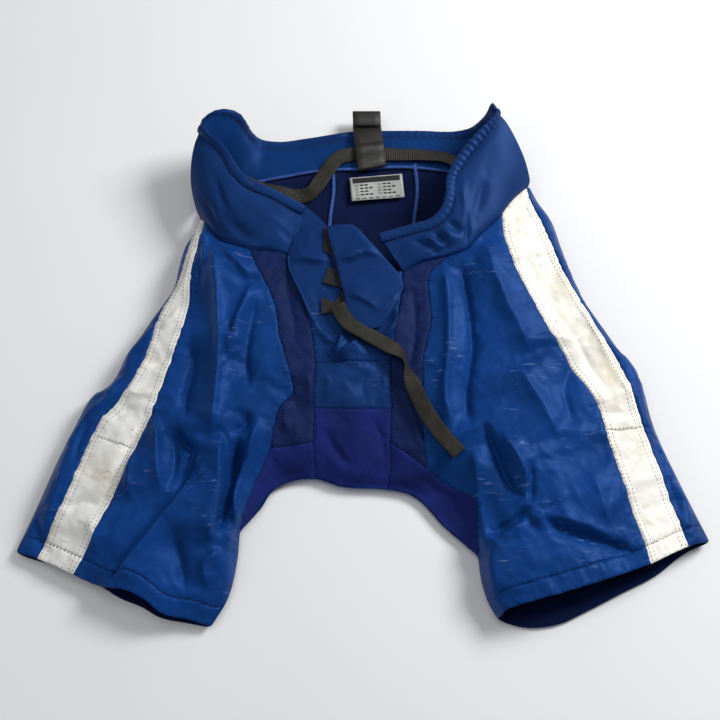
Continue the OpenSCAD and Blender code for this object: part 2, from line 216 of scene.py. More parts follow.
def vent_mesh():
    """Knitted polyester mesh: slanting ribs of shiny thread with dark gaps between them."""
    made, tree, shader = finish_of("vent_mesh", Roughness=0.6, IOR=1.5, Specular_IOR_Level=0.12)
    at = add(tree, "TexCoord").outputs["UV"]
    # ribs 2.0 mm apart; drawn 2.7 mm apart so that they show
    ribs = add(tree, "TexWave", {"bands_direction": "DIAGONAL"}, Vector=at, Scale=165.0, Distortion=1.0, Detail=1.0)
    rungs = add(tree, "TexWave", {"bands_direction": "Y"}, Vector=at, Scale=150.0, Distortion=0.5, Detail=1.0)
    thread = add(tree, "Math", {"operation": "MULTIPLY_ADD"}, _0=rungs.outputs["Fac"], _1=0.3, _2=ribs.outputs["Fac"])
    tree.links.new(ramp(tree, thread.outputs["Value"], [(0.1, "#08163A"), (0.6, "#0D1E4E"), (1.0, "#132B64")]), shader.inputs["Base Color"])
    bump = add(tree, "Bump", Height=thread.outputs["Value"], Strength=0.35, Distance=0.0006)
    tree.links.new(bump.outputs["Normal"], shader.inputs["Normal"])
    return made


def strap_web(name, colour, pitch, along="X", rough=0.6, strength=0.6):
    """Woven nylon webbing: heavy ribs across the strap, with a little shine painted on their crowns as painted
    highlight and painted shade between them; the belt's 1.2 mm ribs are drawn 2.4 mm apart.
    """
    made, tree, shader = finish_of(name, Roughness=rough, IOR=1.53, Specular_IOR_Level=0.35)
    at = add(tree, "TexCoord").outputs["UV"]
    ribs = add(tree, "TexWave", {"bands_direction": along}, Vector=at, Scale=pitch, Distortion=0.4, Detail=1.0)
    dust = add(tree, "TexNoise", Vector=at, Scale=60.0, Detail=5.0)
    # the rib wave lightens the colour on the crowns and darkens it towards near-black between them: painted highlight
    # and painted shade; the dust noise is the webbing's own uneven tone
    both = add(tree, "Math", {"operation": "MULTIPLY_ADD"}, _0=ribs.outputs["Fac"], _1=0.5, _2=dust.outputs["Fac"])
    tree.links.new(ramp(tree, both.outputs["Value"], [(0.4, "#080807"), (1.0, colour)]), shader.inputs["Base Color"])
    bump = add(tree, "Bump", Height=ribs.outputs["Fac"], Strength=strength, Distance=0.0008)
    tree.links.new(bump.outputs["Normal"], shader.inputs["Normal"])
    return made


def hook_tape(name="hook_tape", high="#171613"):
    """Moulded nylon hook tape: a dull black field of tiny hooks."""
    made, tree, shader = finish_of(name, Roughness=0.75, IOR=1.53)
    at = add(tree, "TexCoord").outputs["UV"]
    # hooks 1.2 mm apart, as made
    hooks = add(tree, "TexVoronoi", Vector=at, Scale=800.0, Randomness=0.4)
    tree.links.new(ramp(tree, hooks.outputs["Distance"], [(0.1, high), (0.6, "#070706")]), shader.inputs["Base Color"])
    bump = add(tree, "Bump", Height=hooks.outputs["Distance"], Strength=0.8, Distance=0.0008)
    tree.links.new(bump.outputs["Normal"], shader.inputs["Normal"])
    return made


def plain_thread(name, colour, rough=0.6):
    """Bonded polyester sewing thread or print: even colour with a slight fleck."""
    made, tree, shader = finish_of(name, Roughness=rough, IOR=1.5)
    fleck = add(tree, "TexNoise", Vector=add(tree, "TexCoord").outputs["Object"], Scale=240.0, Detail=2.0)
    low = "#" + "".join("%02X" % int(int(colour[i:i + 2], 16) * 0.7) for i in (1, 3, 5))
    tree.links.new(ramp(tree, fleck.outputs["Fac"], [(0.3, low), (0.7, colour)]), shader.inputs["Base Color"])
    return made


def label_satin():
    """Woven satin label ribbon: pale grey, faintly lined, limp."""
    made, tree, shader = finish_of("label_satin", Roughness=0.5, IOR=1.5, Sheen_Weight=0.1)
    at = add(tree, "TexCoord").outputs["UV"]
    lines = add(tree, "TexWave", {"bands_direction": "Y"}, Vector=at, Scale=160.0, Distortion=0.3)
    cloud = add(tree, "TexNoise", Vector=at, Scale=40.0, Detail=3.0)
    both = add(tree, "Math", {"operation": "MULTIPLY_ADD"}, _0=lines.outputs["Fac"], _1=0.3, _2=cloud.outputs["Fac"])
    tree.links.new(ramp(tree, both.outputs["Value"], [(0.3, "#8E918F"), (0.9, "#BFC1BD")]), shader.inputs["Base Color"])
    return made


# ---------------------------------------------------------------- lines and surfaces
def through(points, step=0.005):
    """A smooth line through given points in millimetres, sampled about step metres apart."""
    p = np.array(points, float) * MM
    gap = np.maximum(np.linalg.norm(np.diff(p, axis=0), axis=1), 1e-9)[:, None]
    slope = np.diff(p, axis=0) / gap
    lean = np.empty_like(p)
    lean[0], lean[-1] = slope[0], slope[-1]
    if len(p) > 2:
        lean[1:-1] = (slope[:-1] * gap[1:] + slope[1:] * gap[:-1]) / (gap[:-1] + gap[1:])
    out = []
    for i in range(len(p) - 1):
        n = max(1, int(round(gap[i, 0] / step)))
        t = (np.arange(n) / n)[:, None]
        d = gap[i]
        out.append((2 * t**3 - 3 * t**2 + 1) * p[i] + (t**3 - 2 * t**2 + t) * d * lean[i]
                   + (-2 * t**3 + 3 * t**2) * p[i + 1] + (t**3 - t**2) * d * lean[i + 1])
    out.append(p[-1:])
    return np.vstack(out)


def even(line, count):
    """The line again with count points, evenly spaced along it."""
    run = np.concatenate([[0], np.cumsum(np.linalg.norm(np.diff(line, axis=0), axis=1))])
    want = np.linspace(0, run[-1], count)
    return np.stack([np.interp(want, run, line[:, k]) for k in range(line.shape[1])], axis=1)


def length_of(line):
    return float(np.linalg.norm(np.diff(line, axis=0), axis=1).sum())


def near(points, line):
    """For plan points: distance to the line, the side they are on, how far along it, and its nearest third value."""
    a, b = line[:-1], line[1:]
    ab = b[:, :2] - a[:, :2]
    size = np.maximum((ab**2).sum(1), 1e-12)
    run = np.concatenate([[0], np.cumsum(np.sqrt(size))])
    best = np.full(len(points), 1e9)
    side, along, level = np.zeros(len(points)), np.zeros(len(points)), np.zeros(len(points))
    for k in range(0, len(points), 4000):
        q = points[k:k + 4000, None, :2] - a[None, :, :2]
        t = np.clip((q * ab).sum(2) / size, 0, 1)
        off = q - t[..., None] * ab
        d = (off**2).sum(2)
        i = d.argmin(1)
        r = np.arange(len(i))
        best[k:k + 4000] = np.sqrt(d[r, i])
        side[k:k + 4000] = np.sign(ab[i, 0] * q[r, i, 1] - ab[i, 1] * q[r, i, 0])
        along[k:k + 4000] = run[i] + t[r, i] * np.sqrt(size[i])
        if line.shape[1] > 2:
            level[k:k + 4000] = a[i, 2] + t[r, i] * (b[i, 2] - a[i, 2])
    return best, side, along, level, run[-1]


def thin_plate(posts):
    """A smooth height over the plan through given posts (x, y, height) in millimetres."""
    p = np.array(posts, float) * MM
    n = len(p)

    def kernel(a, b):
        r2 = ((a[:, None, :2] - b[None, :, :2])**2).sum(2) + 1e-12
        return r2 * np.log(r2)

    system = np.zeros((n + 3, n + 3))
    system[:n, :n] = kernel(p, p) + np.eye(n) * 2e-5
    system[:n, n:] = np.c_[np.ones(n), p[:, :2]]
    system[n:, :n] = system[:n, n:].T
    weights = np.linalg.solve(system, np.concatenate([p[:, 2], np.zeros(3)]))
    return lambda q: kernel(q, p) @ weights[:n] + np.c_[np.ones(len(q)), q[:, :2]] @ weights[n:]


def ripple(points, size, seed=0.0):
    """Soft noise at each point, about -1 to 1, with bumps about size metres across."""
    return np.array([noise.noise(Vector((x / size, y / size, seed))) for x, y in points[:, :2]])


def smooth(t):
    t = np.clip(t, 0, 1)
    return t * t * (3 - 2 * t)


def fold_profile(points, fold):
    """The height a listed fold adds: a crease with its own width on each side, fading at both ends."""
    route, height, left, right = fold
    line = through(route, 0.008)
    low, high = line[:, :2].min(0) - 0.06, line[:, :2].max(0) + 0.06
    close = np.where(((points[:, :2] > low) & (points[:, :2] < high)).all(1))[0]
    d, side, along, _, total = near(points[close], line)
    wide = np.where(side > 0, left, right) * MM
    crease = 0.8 * MM
    shape = np.exp(-(np.sqrt(d**2 + crease**2) - crease) / wide)
    fade = min(0.35 * total, 0.03)
    added = np.zeros(len(points))
    added[close] = height * MM * shape * smooth(along / fade) * smooth((total - along) / fade)
    return added


# ---------------------------------------------------------------- meshes
def keep_mesh(name, bm):
    """Turns a bmesh into a named object at the origin."""
    data = bpy.data.meshes.new(name)
    bm.to_mesh(data)
    bm.free()
    made = bpy.data.objects.new(name, data)
    scene.collection.objects.link(made)
    return made


def plan_uv(bm, scale=1.0):
    """Lays the weave on a cloth from straight above, one unit of the map to the metre."""
    layer = bm.loops.layers.uv.verify()
    for face in bm.faces:
        flat = abs(face.normal.z)
        for loop in face.loops:
            x, y, z = loop.vert.co
            loop[layer].uv = (x * scale, (y + (0.6 * z if flat < 0.5 else 0)) * scale)


def bake(obj):
    """Applies every modifier on the piece."""
    fresh = bpy.data.meshes.new_from_object(obj.evaluated_get(bpy.context.evaluated_depsgraph_get()))
    obj.modifiers.clear()
    obj.data = fresh
    obj.data.name = obj.name


def cloth_net(lines, seeds, step):
    """Cuts a flat pattern along its lines into a net of small triangles, each marked with the panel whose seed is in its cell."""
    corners, links = [], []
    for line in lines:
        start = len(corners)
        corners.extend(Vector((x, y)) for x, y in line[:, :2])
        links.extend((start + i, start + i + 1) for i in range(len(line) - 1))
    everything = np.vstack([line[:, :2] for line in lines])
    low, high = everything.min(0) - step, everything.max(0) + step
    rows = np.arange(low[1], high[1], step * 0.866)
    grid = np.array([(x + (0.5 * step if k % 2 else 0), y) for k, y in enumerate(rows) for x in np.arange(low[0], high[0], step)])
    clear = np.full(len(grid), 1e9)
    for line in lines:
        clear = np.minimum(clear, near(grid, line[:, :2])[0])
    grid = grid[clear > 0.62 * step]
    corners.extend(Vector((x, y)) for x, y in grid)
    verts, edges, faces, _, from_links, _ = delaunay_2d_cdt(corners, links, [], 0, 1e-5, True)
    walls = {tuple(sorted(e)) for e, made_from in zip(edges, from_links) if made_from}
    sides = {}
    for f, face in enumerate(faces):
        for i in range(3):
            sides.setdefault(tuple(sorted((face[i], face[(i + 1) % 3]))), []).append(f)
    beside = [[] for _ in faces]
    for edge, pair in sides.items():
        if edge not in walls and len(pair) == 2:
            beside[pair[0]].append(pair[1])
            beside[pair[1]].append(pair[0])
    place = np.array([tuple(v) for v in verts])
    tri = np.array([f[:3] for f in faces])
    mark = np.full(len(faces), -1)
    for k, (sx, sy) in enumerate(seeds):
        seed = np.array([sx, sy]) * MM
        a, b, c = (place[tri[:, i]] for i in range(3))
        turn = [(q[:, 0] - p[:, 0]) * (seed[1] - p[:, 1]) - (q[:, 1] - p[:, 1]) * (seed[0] - p[:, 0]) for p, q in ((a, b), (b, c), (c, a))]
        inside = np.where((np.min(turn, 0) >= 0) | (np.max(turn, 0) <= 0))[0]
        queue = [int(i) for i in inside[:1]]
        while queue:
            f = queue.pop()
            if mark[f] == -1:
                mark[f] = k
                queue.extend(beside[f])
    kept = np.where(mark >= 0)[0]
    bm = bmesh.new()
    points = [bm.verts.new((x, y, 0)) for x, y in place]
    for f in kept:
        face = bm.faces.new([points[i] for i in faces[f]])
        face.material_index = int(mark[f])
        face.smooth = True
    loose = [v for v in bm.verts if not v.link_faces]
    bmesh.ops.delete(bm, geom=loose, context="VERTS")
    bmesh.ops.recalc_face_normals(bm, faces=bm.faces)
    if sum(f.normal.z for f in bm.faces) < 0:
        bmesh.ops.reverse_faces(bm, faces=bm.faces)
    return bm


def read_points(data):
    co = np.empty(len(data.vertices) * 3)
    data.vertices.foreach_get("co", co)
    return co.reshape(-1, 3)


def write_points(data, co):
    data.vertices.foreach_set("co", np.ascontiguousarray(co, float).ravel())
    data.update()


def crumple(obj, hold, spare, frames=22, stiff=12.0, bend=0.6, pin=0.6):
    """Lets a net of cloth with a little spare length buckle into its own wrinkles, held where it is sewn."""
    group = obj.vertex_groups.new(name="sewn")
    for level in range(21):
        chosen = np.where(np.round(hold * 20) == level)[0]
        if len(chosen):
            group.add([int(i) for i in chosen], level / 20, "REPLACE")
    cloth = obj.modifiers.new("crumple", "CLOTH")
    held = cloth.settings
    held.quality = 6
    held.mass = 0.12
    held.tension_stiffness = held.compression_stiffness = stiff
    held.shear_stiffness = stiff * 0.4
    held.bending_stiffness = bend
    held.air_damping = 2.0
    held.vertex_group_mass = "sewn"
    held.pin_stiffness = pin
    held.shrink_min = -spare
    held.effector_weights.gravity = 0
    cloth.collision_settings.use_collision = False
    cloth.collision_settings.use_self_collision = False
    cloth.point_cache.frame_start = 1
    cloth.point_cache.frame_end = frames
    before = read_points(obj.data)
    for f in range(1, frames + 1):
        scene.frame_set(f)
    bake(obj)
    scene.frame_set(1)
    after = read_points(obj.data)
    obj.vertex_groups.clear()
    move = after - before
    size = np.linalg.norm(move, axis=1)
    cap = 0.014
    after = before + move * np.minimum(1, cap / np.maximum(size, 1e-9))[:, None]
    write_points(obj.data, after)


# ---------------------------------------------------------------- the pattern: seams and folds, in millimetres
SIDE_FOLD = {
    "right": [(-204, 184, 30), (-211, 168, 26), (-222, 151, 20), (-230, 122, 15), (-233, 100, 14), (-258, 52, 11), (-286, 6, 10), (-307, -37, 9),
              (-324, -49, 9), (-341, -85, 8), (-358, -129, 8), (-378, -190, 8), (-395, -240, 9)],
    "left": [(211, 231, 30), (221, 215, 22), (238, 189, 17), (250, 149, 13), (271, 82, 11), (302, 25, 10), (330, -18, 9), (346, -91, 8),
             (370, -160, 8), (396, -228, 9)],
}
YOKE_SEAM = {
    "right": [(-204, 184, 30), (-191, 166, 38), (-180, 147, 43), (-157, 135, 47), (-140, 129, 49), (-112, 127, 50), (-86, 121, 50)],
    "left": [(211, 231, 30), (185, 201, 40), (173, 182, 44), (142, 147, 49), (128, 130, 50), (103, 119, 50), (77, 113, 50), (48, 99, 50)],
}
FLY_TOP = [(-86, 121, 50), (-45, 108, 50), (0, 98, 50), (48, 99, 50)]
STRIPE_OUT = {
    "right": [(-213, 178, 27), (-213, 160, 27), (-219, 128, 26), (-228, 96, 26), (-240, 66, 26), (-250, 38, 26), (-255, 10, 26), (-263, -16, 26), (-274, -40, 26), (-290, -70, 25), (-307, -88, 25),
              (-315, -105, 24), (-325, -134, 23), (-338, -176, 21), (-351, -207, 19), (-369, -249, 13)],
    "left": [(207, 232, 32), (212, 201, 34), (220, 178, 36), (243, 112, 34), (278, 36, 30), (313, -40, 26), (326, -96, 24), (344, -155, 22), (368, -237, 20)],
}
STRIPE_IN = {
    "right": [(-198, 183, 34), (-202, 160, 34), (-206, 125, 34), (-211, 90, 34), (-212, 59, 34), (-218, 25, 34), (-230, -18, 34), (-239, -52, 33), (-248, -84, 32), (-264, -125, 31), (-286, -181, 28), (-304, -224, 24), (-313, -243, 21), (-326, -268, 17)],
    "left": [(173, 186, 44), (174, 148, 43), (181, 119, 42), (203, 65, 40), (237, -6, 36), (278, -84, 32), (282, -106, 31), (300, -175, 30), (316, -235, 30), (322, -259, 30)],
}
STRIPE_CROSS = {"right": [(-324, -106), (-315, -108), (-290, -117), (-265, -125), (-256, -127)], "left": [(272, -101), (283, -103), (326, -98), (334, -97)]}
HEM_FRONT = {
    "right": [(-395, -240, 9), (-369, -249, 13), (-326, -268, 16), (-302, -279, 18), (-288, -285, 30), (-262, -290, 35), (-240, -301, 34), (-224, -313, 24), (-191, -319, 14), (-169, -325, 9)],
    "left": [(396, -228, 9), (368, -237, 20), (322, -259, 30), (275, -276, 34), (226, -292, 38), (190, -302, 38), (158, -311, 32), (150, -317, 12)],
}
INNER_FOLD = {
    "right": [(-169, -325, 9), (-152, -294, 8), (-143, -251, 8), (-141, -216, 9)],
    "left": [(150, -317, 12), (141, -300, 10), (133, -270, 9), (131, -245, 9)],
}
CROTCH_FOLD = [(-141, -216, 9), (-118, -188, 8), (-106, -168, 8), (-56, -153, 9), (-27, -162, 9), (29, -166, 9), (53, -171, 8), (95, -212, 8), (131, -245, 9)]
MESH_OUT = {
    "right": [(-140, 129, 49), (-126, 98, 50), (-110, 66, 49), (-97, 5, 48), (-86, -34, 46), (-83, -60, 43), (-95, -70, 38), (-103, -92, 32), (-107, -120, 26)],
    "left": [(103, 119, 50), (84, 102, 50), (80, 31, 48), (70, -19, 46), (69, -44, 42), (70, -95, 34), (72, -143, 26)],
}
MESH_IN = {
    "right": [(-86, 121, 50), (-83, 104, 50), (-71, 63, 49), (-62, 20, 46), (-57, -17, 43), (-58, -74, 36), (-58, -114, 29)],
    "left": [(48, 99, 50), (46, 72, 51), (41, 40, 49), (34, -17, 43), (33, -74, 36), (31, -114, 29)],
}
MESH_FOOT = {"right": [(-107, -120, 26), (-82, -117, 27), (-58, -114, 29)], "left": [(72, -143, 26), (52, -128, 27), (31, -114, 29)]}
GUSSET_SIDE = {"right": [(-58, -114, 29), (-57, -135, 22), (-56, -153, 9)], "left": [(31, -114, 29), (31, -140, 20), (29, -166, 9)]}
THIGH_INNER = {"right": [(-107, -120, 26), (-120, -150, 24), (-134, -188, 20), (-141, -216, 9)], "left": [(72, -143, 26), (86, -154, 26), (106, -167, 26), (125, -179, 24), (129, -212, 17), (131, -245, 9)]}
PATCH_TOP = [(-57, -17, 43), (-12, -19, 44), (34, -17, 43)]
PATCH_FOOT = [(-58, -74, 36), (-12, -76, 36), (33, -74, 36)]
SPARE = 0.014  # extra length of the front's cloth, as a share, that the simulation gathers into folds
HEM_UP = 20
CASING = 13.0
HEM_BACK = {
    "right": [(-395, -240, 9), (-388, -243, 3), (-330, -261, 2), (-300, -276, 2), (-273, -292, 2), (-246, -303, 2), (-231, -312, 2), (-195, -320, 2), (-169, -325, 9)],
    "left": [(396, -228, 9), (370, -239, 3), (332, -266, 2), (290, -287, 2), (254, -305, 2), (215, -322, 2), (183, -325, 2), (150, -317, 12)],
}
BACK_SEAM = [(-204, 184, 30), (-209, 198, 18), (-204, 216, 10), (-188, 234, 8), (-160, 246, 7), (-110, 257, 7), (-60, 267, 7), (0, 270, 7), (50, 273, 7),
             (110, 267, 7), (160, 256, 7), (192, 247, 8), (206, 241, 15), (211, 231, 30)]
SEAT_SIDE = {"right": [(-252, 98), (-215, 66), (-140, -18), (-75, -118), (-56, -152), (-52, -160)], "left": [(284, 104), (235, 72), (145, -18), (75, -118), (31, -166), (28, -174)]}

POSTS = [
    (-203, 183, 32), (-191, 166, 39), (-178, 146, 44), (-140, 129, 49), (-86, 121, 50), (-222, 120, 38), (-218, 60, 38), (-240, 0, 37), (-262, -60, 36),
    (-300, -120, 33), (-335, -180, 29), (-365, -235, 16), (-394, -240, 11), (-180, 90, 50), (-180, 20, 48), (-190, -60, 44),
    (-205, -130, 41), (-230, -200, 38), (-262, -260, 35), (-326, -268, 17), (-302, -279, 19), (-286, -286, 31), (-262, -290, 35), (-240, -301, 34), (-191, -319, 14),
    (-169, -325, 10), (-130, 60, 50), (-122, 0, 48), (-122, -60, 44), (-140, -120, 40), (-155, -180, 35), (-165, -250, 29),
    (-158, -295, 16), (-100, 90, 50), (-80, 30, 47), (-72, -30, 43), (-75, -80, 34), (-85, -115, 26), (-107, -120, 25),
    (-78, -138, 18), (-100, -150, 9), (-125, -190, 9), (-57, -17, 43), (34, -17, 43), (-12, -18, 45), (-57, -74, 35),
    (34, -74, 35), (-12, -74, 38), (-12, -120, 27), (-57, -114, 28), (31, -114, 28), (-12, -158, 12), (-45, 108, 49), (0, 98, 49),
    (48, 99, 50), (-70, 60, 48), (-20, 40, 47), (40, 40, 48), (209, 229, 33), (185, 201, 41), (172, 181, 45), (142, 147, 49), (103, 119, 50),
    (77, 112, 50), (238, 120, 40), (255, 60, 40), (285, -20, 37), (315, -80, 34), (350, -160, 27), (396, -228, 14), (368, -237, 22),
    (322, -259, 31), (226, -292, 40), (190, -302, 40), (158, -311, 34), (180, 100, 50), (195, 20, 49), (215, -60, 46),
    (235, -140, 43), (262, -220, 38), (150, 60, 50), (150, -20, 48), (155, -100, 44), (170, -180, 43), (180, -250, 42),
    (140, -150, 38), (142, -240, 34), (80, 31, 48), (70, -19, 45), (72, -80, 36), (72, -140, 26), (100, -165, 14), (60, -160, 12),
    (115, -215, 10),
]

# each fold: its route, its height, and its width on the left and the right of the route
FOLDS = [
    # right leg
    ([(-186, 142), (-178, 80), (-172, 10), (-172, -60), (-176, -115)], 9, 15, 10),
    ([(-207, 20), (-202, -25), (-209, -62), (-205, -95)], -8, 9, 8),
    ([(-176, 132), (-152, 106), (-133, 85)], 6, 9, 5),
    ([(-133, 88), (-143, 52), (-156, 16), (-160, -20)], 7, 10, 5),
    ([(-152, 36), (-158, 22), (-153, 4)], -6, 3, 3),
    ([(-126, 70), (-134, 30), (-138, -20), (-132, -60)], -5, 7, 9),
    ([(-199, 168), (-196, 138), (-196, 100)], 6, 3, 5),
    ([(-200, 160), (-199, 110), (-205, 50)], -3, 4, 4),
    ([(-241, -80), (-237, -133), (-230, -182)], 9, 5, 12),
    ([(-222, -95), (-218, -150), (-226, -180)], -6, 8, 6),
    ([(-218, -94), (-207, -117), (-196, -129), (-198, -141), (-206, -165), (-220, -189), (-240, -216), (-252, -233), (-276, -265), (-288, -284)], -8, 3, 9),
    ([(-199, -160), (-211, -186), (-230, -212), (-243, -230), (-266, -262), (-280, -285)], 8, 18, 4),
    ([(-163, -105), (-163, -142), (-162, -172), (-168, -211), (-176, -244)], 11, 4, 20),
    ([(-142, -105), (-149, -149), (-157, -189), (-168, -232)], -13, 5, 4),
    ([(-120, -85), (-132, -129), (-147, -180), (-145, -206), (-157, -246)], 9, 8, 5),
    ([(-131, -80), (-140, -100), (-156, -108)], -7, 6, 5),
    ([(-176, -238), (-166, -248), (-176, -259), (-173, -290)], 6, 5, 4),
    ([(-152, -240), (-149, -262), (-150, -292)], 5, 3, 5),
    ([(-215, -215), (-206, -247), (-196, -296)], -8, 10, 12),
    ([(-262, -120), (-270, -157), (-264, -190)], 6, 9, 4),
    ([(-248, -75), (-272, -126), (-302, -205)], -5, 5, 3),
    ([(-312, -200), (-298, -250)], 3, 5, 5),
    ([(-378, -195), (-367, -228), (-368, -244)], -3, 5, 5),
    ([(-290, -28), (-300, -60), (-330, -85)], 4, 6, 5),
    ([(-318, -84), (-330, -110), (-334, -150)], -3, 6, 5),
    ([(-345, -130), (-352, -180), (-372, -232)], 3, 8, 6),
    # left leg
    ([(150, 142), (160, 90), (178, 40), (200, -10)], 6, 14, 12),
    ([(118, 118), (126, 60), (130, 0), (122, -60), (124, -105)], -7, 7, 8),
    ([(98, 112), (102, 50), (100, -10), (96, -60), (104, -105)], 6, 8, 8),
    ([(138, -90), (154, -131), (168, -167), (188, -194)], -9, 4, 10),
    ([(158, -105), (176, -142), (194, -180)], 7, 10, 5),
    ([(191, -140), (191, -183), (188, -198)], -7, 4, 6),
    ([(190, -194), (173, -212), (160, -219), (136, -226)], -7, 4, 5),
    ([(186, -208), (166, -226), (146, -238)], 4, 5, 8),
    ([(197, -206), (219, -218), (254, -229), (290, -240), (312, -250)], -8, 4, 8),
    ([(205, -204), (240, -216), (285, -230)], 4, 10, 4),
    ([(190, -216), (204, -206)], 5, 4, 4),
    ([(125, -120), (130, -160), (134, -215), (139, -270), (146, -305)], 6, 10, 4),
    ([(176, -20), (200, -60), (228, -120)], 5, 16, 12),
    ([(258, 0), (238, -50), (246, -110)], -4, 12, 12),
    ([(259, -150), (272, -196), (277, -222)], 4, 10, 10),
    ([(335, -90), (350, -150), (366, -210)], -3, 7, 7),
    ([(262, 60), (292, -10), (320, -70)], 3, 6, 5),
    # the white stripes crease too
    ([(-222, 60), (-236, 36), (-250, 30)], 3, 5, 5),
    ([(-226, 0), (-248, -18), (-262, -14)], -3, 4, 5),
    ([(-246, -50), (-262, -58), (-282, -48)], 3, 4, 5),
    ([(-262, -72), (-276, -76), (-296, -90)], -3, 4, 4),
    ([(-290, -195), (-320, -188), (-345, -196)], -2, 5, 5),
    ([(200, 130), (216, 80), (250, 20), (290, -60)], -2, 5, 6),
    ([(226, 20), (248, 10), (272, 26)], 2, 5, 5),
    ([(270, -70), (290, -62), (312, -50)], 3, 4, 6),
    ([(278, -86), (300, -80), (318, -84)], -3, 4, 4),
    # fly and crotch
    ([(-23, 22), (-30, 0), (-38, -16)], 7, 9, 1.5),
    ([(-2, 11), (-18, -3), (-32, -16)], 7, 9, 1.5),
    ([(46, 52), (38, 30), (20, 8)], 4, 7, 2),
    ([(35, -8), (27, -15), (18, -22)], 3, 6, 2),
    ([(-66, 44), (-50, 16), (-30, -2)], 3, 5, 3),
    ([(-48, -28), (-40, -50), (-44, -70)], 2, 5, 5),
    ([(6, -26), (0, -45), (4, -70)], -2, 6, 6),
    ([(20, -28), (26, -48), (22, -70)], 2, 4, 4),
    ([(-46, -95), (-30, -125), (-4, -148)], -3, 7, 8),
    ([(10, -84), (22, -110), (24, -135)], -3, 6, 6),
    ([(-96, 92), (-84, 40), (-78, -10)], -2, 8, 8),
    ([(-70, -24), (-62, -50), (-66, -80)], 4, 5, 9),
    ([(-80, -66), (-92, -84), (-84, -106)], 3, 5, 5),
    ([(60, 80), (62, 20), (54, -30)], -3, 7, 6),
    ([(44, -40), (58, -80), (66, -120)], 3, 6, 6),
    ([(60, -150), (90, -170), (118, -200)], -3, 7, 7),
]

SIDES = ("right", "left")
PANELS = (  # panel, a point on its pattern on each side
    ("thigh_front", {"right": (-180, 0), "left": (150, -20)}),
    ("stripe_upper", {"right": (-232, 20), "left": (225, 80)}),
    ("stripe_lower", {"right": (-300, -150), "left": (318, -160)}),
    ("side_cloth", {"right": (-330, -110), "left": (335, -80)}),
    ("mesh_panel", {"right": (-80, -20), "left": (55, -20)}),
    ("inner_thigh", {"right": (-90, -140), "left": (80, -170)}),
)
HEM_PANELS = (
    ("hem_nylon", {"right": (-250, -286), "left": (200, -291)}),
    ("hem_stripe", {"right": (-348, -250), "left": (345, -240)}),
    ("hem_side", {"right": (-382, -238), "left": (382, -226)}),
)
MIDDLE = (("fly_base", (-20, 40)), ("crotch_patch", (-12, -45)), ("crotch_gusset", (-12, -130)))


FLAT_AREA = {}  # each panel's cloth in square metres, taken from its net before it is crumpled or creased


def note_cut(data, names, spare=0.0):
    """Notes how much cloth each panel of a net is cut from; names gives one name to each of the net's cells."""
    for face in data.polygons:
        name = names[face.material_index]
        FLAT_AREA[name] = FLAT_AREA.get(name, 0.0) + face.area * (1 + spare)**2


def with_leg(piece):
    """Cloth that crosses from the hips to a leg: bakes the piece's transform into its mesh."""
    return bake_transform(piece)


def hem_row(side):
    """The stitched row that holds up the turned hem, a hem's width above its edge."""
    line = through(HEM_FRONT[side])
    lean = np.array([0.003 if side == "right" else -0.003, HEM_UP * MM, 0])
    moved = line + lean
    ends = np.array([[0.012 if side == "right" else -0.012, 0.003, 0]])
    return np.vstack([moved[:1] - ends, moved, moved[-1:] + ends])


def leg_drape(points):
    """Long soft folds that run down each leg from the hip, ridged like limp nylon."""
    total = np.zeros(len(points))
    for s, run, amount in ((-1, (-0.30, -0.95), 1.8), (1, (0.33, -0.94), 1.1)):
        down = np.array(run)
        across = np.array([-down[1], down[0]])
        u, v = points[:, :2] @ across, points[:, :2] @ down
        bent = u + 0.010 * ripple(points, 0.06, 21.0 + s)
        for wide, long, share, seed in ((0.030, 0.13, 1.0, 4.0), (0.015, 0.07, 0.42, 8.0)):
            waves = ripple(np.c_[bent / wide, v / long], 1.0, seed + s)
            total += amount * MM * share * (0.6 - 1.7 * np.abs(waves)) * smooth((s * points[:, 0] - 0.085) / 0.04)
    return total * smooth((0.19 - points[:, 1]) / 0.06) * (0.55 + 0.45 * smooth((0.05 - points[:, 1]) / 0.1))


def crinkle(points):
    """Small crisp creases 8-16 mm apart, slanting both ways, stronger in some places than in others."""
    total = np.zeros(len(points))
    for turn, wide, long, share, seed in ((0.55, 0.014, 0.034, 1.0, 41.0), (-0.8, 0.011, 0.026, 0.8, 47.0), (1.4, 0.009, 0.020, 0.5, 53.0)):
        u = points[:, 0] * math.cos(turn) + points[:, 1] * math.sin(turn)
        v = points[:, 1] * math.cos(turn) - points[:, 0] * math.sin(turn)
        waves = ripple(np.c_[u / wide, v / long], 1.0, seed)
        here = smooth((ripple(points, 0.045, seed + 2) + 0.22) / 0.5)
        total += share * here * (0.22 - np.abs(waves))
    return 1.7 * MM * total


def side_rounding(points, height, lines, reach, floor_level=None):
    """Rolls the cloth over to meet the other layer along each folded edge."""
    for line in lines:
        d, _, _, level, _ = near(points, line)
        t = np.clip(d / reach, 0, 1)
        roll = np.sqrt(np.clip(1 - (1 - t)**2, 0, 1))
        height = np.where(d < reach, level + (height - level) * roll, height)
    return height


def sink_seams(data, rows, depth=0.7, width=1.8, pucker=0.28):
    """Presses each sewn line into the cloth and puckers the cloth beside it."""
    co = read_points(data)
    for k, line in enumerate(rows):
        d, _, along, _, total = near(co, line)
        close = d < 0.02
        dip = depth * MM * np.exp(-(d / (width * MM))**2)
        beat = np.sin(along / 0.0085 * 2 * np.pi + 2.2 * np.sin(along / 0.031) + k)
        wave = pucker * MM * beat * np.exp(-(d / 0.0075)) * smooth(d / 0.003)
        co[:, 2] += np.where(close, wave - dip, 0)
    write_points(data, co)


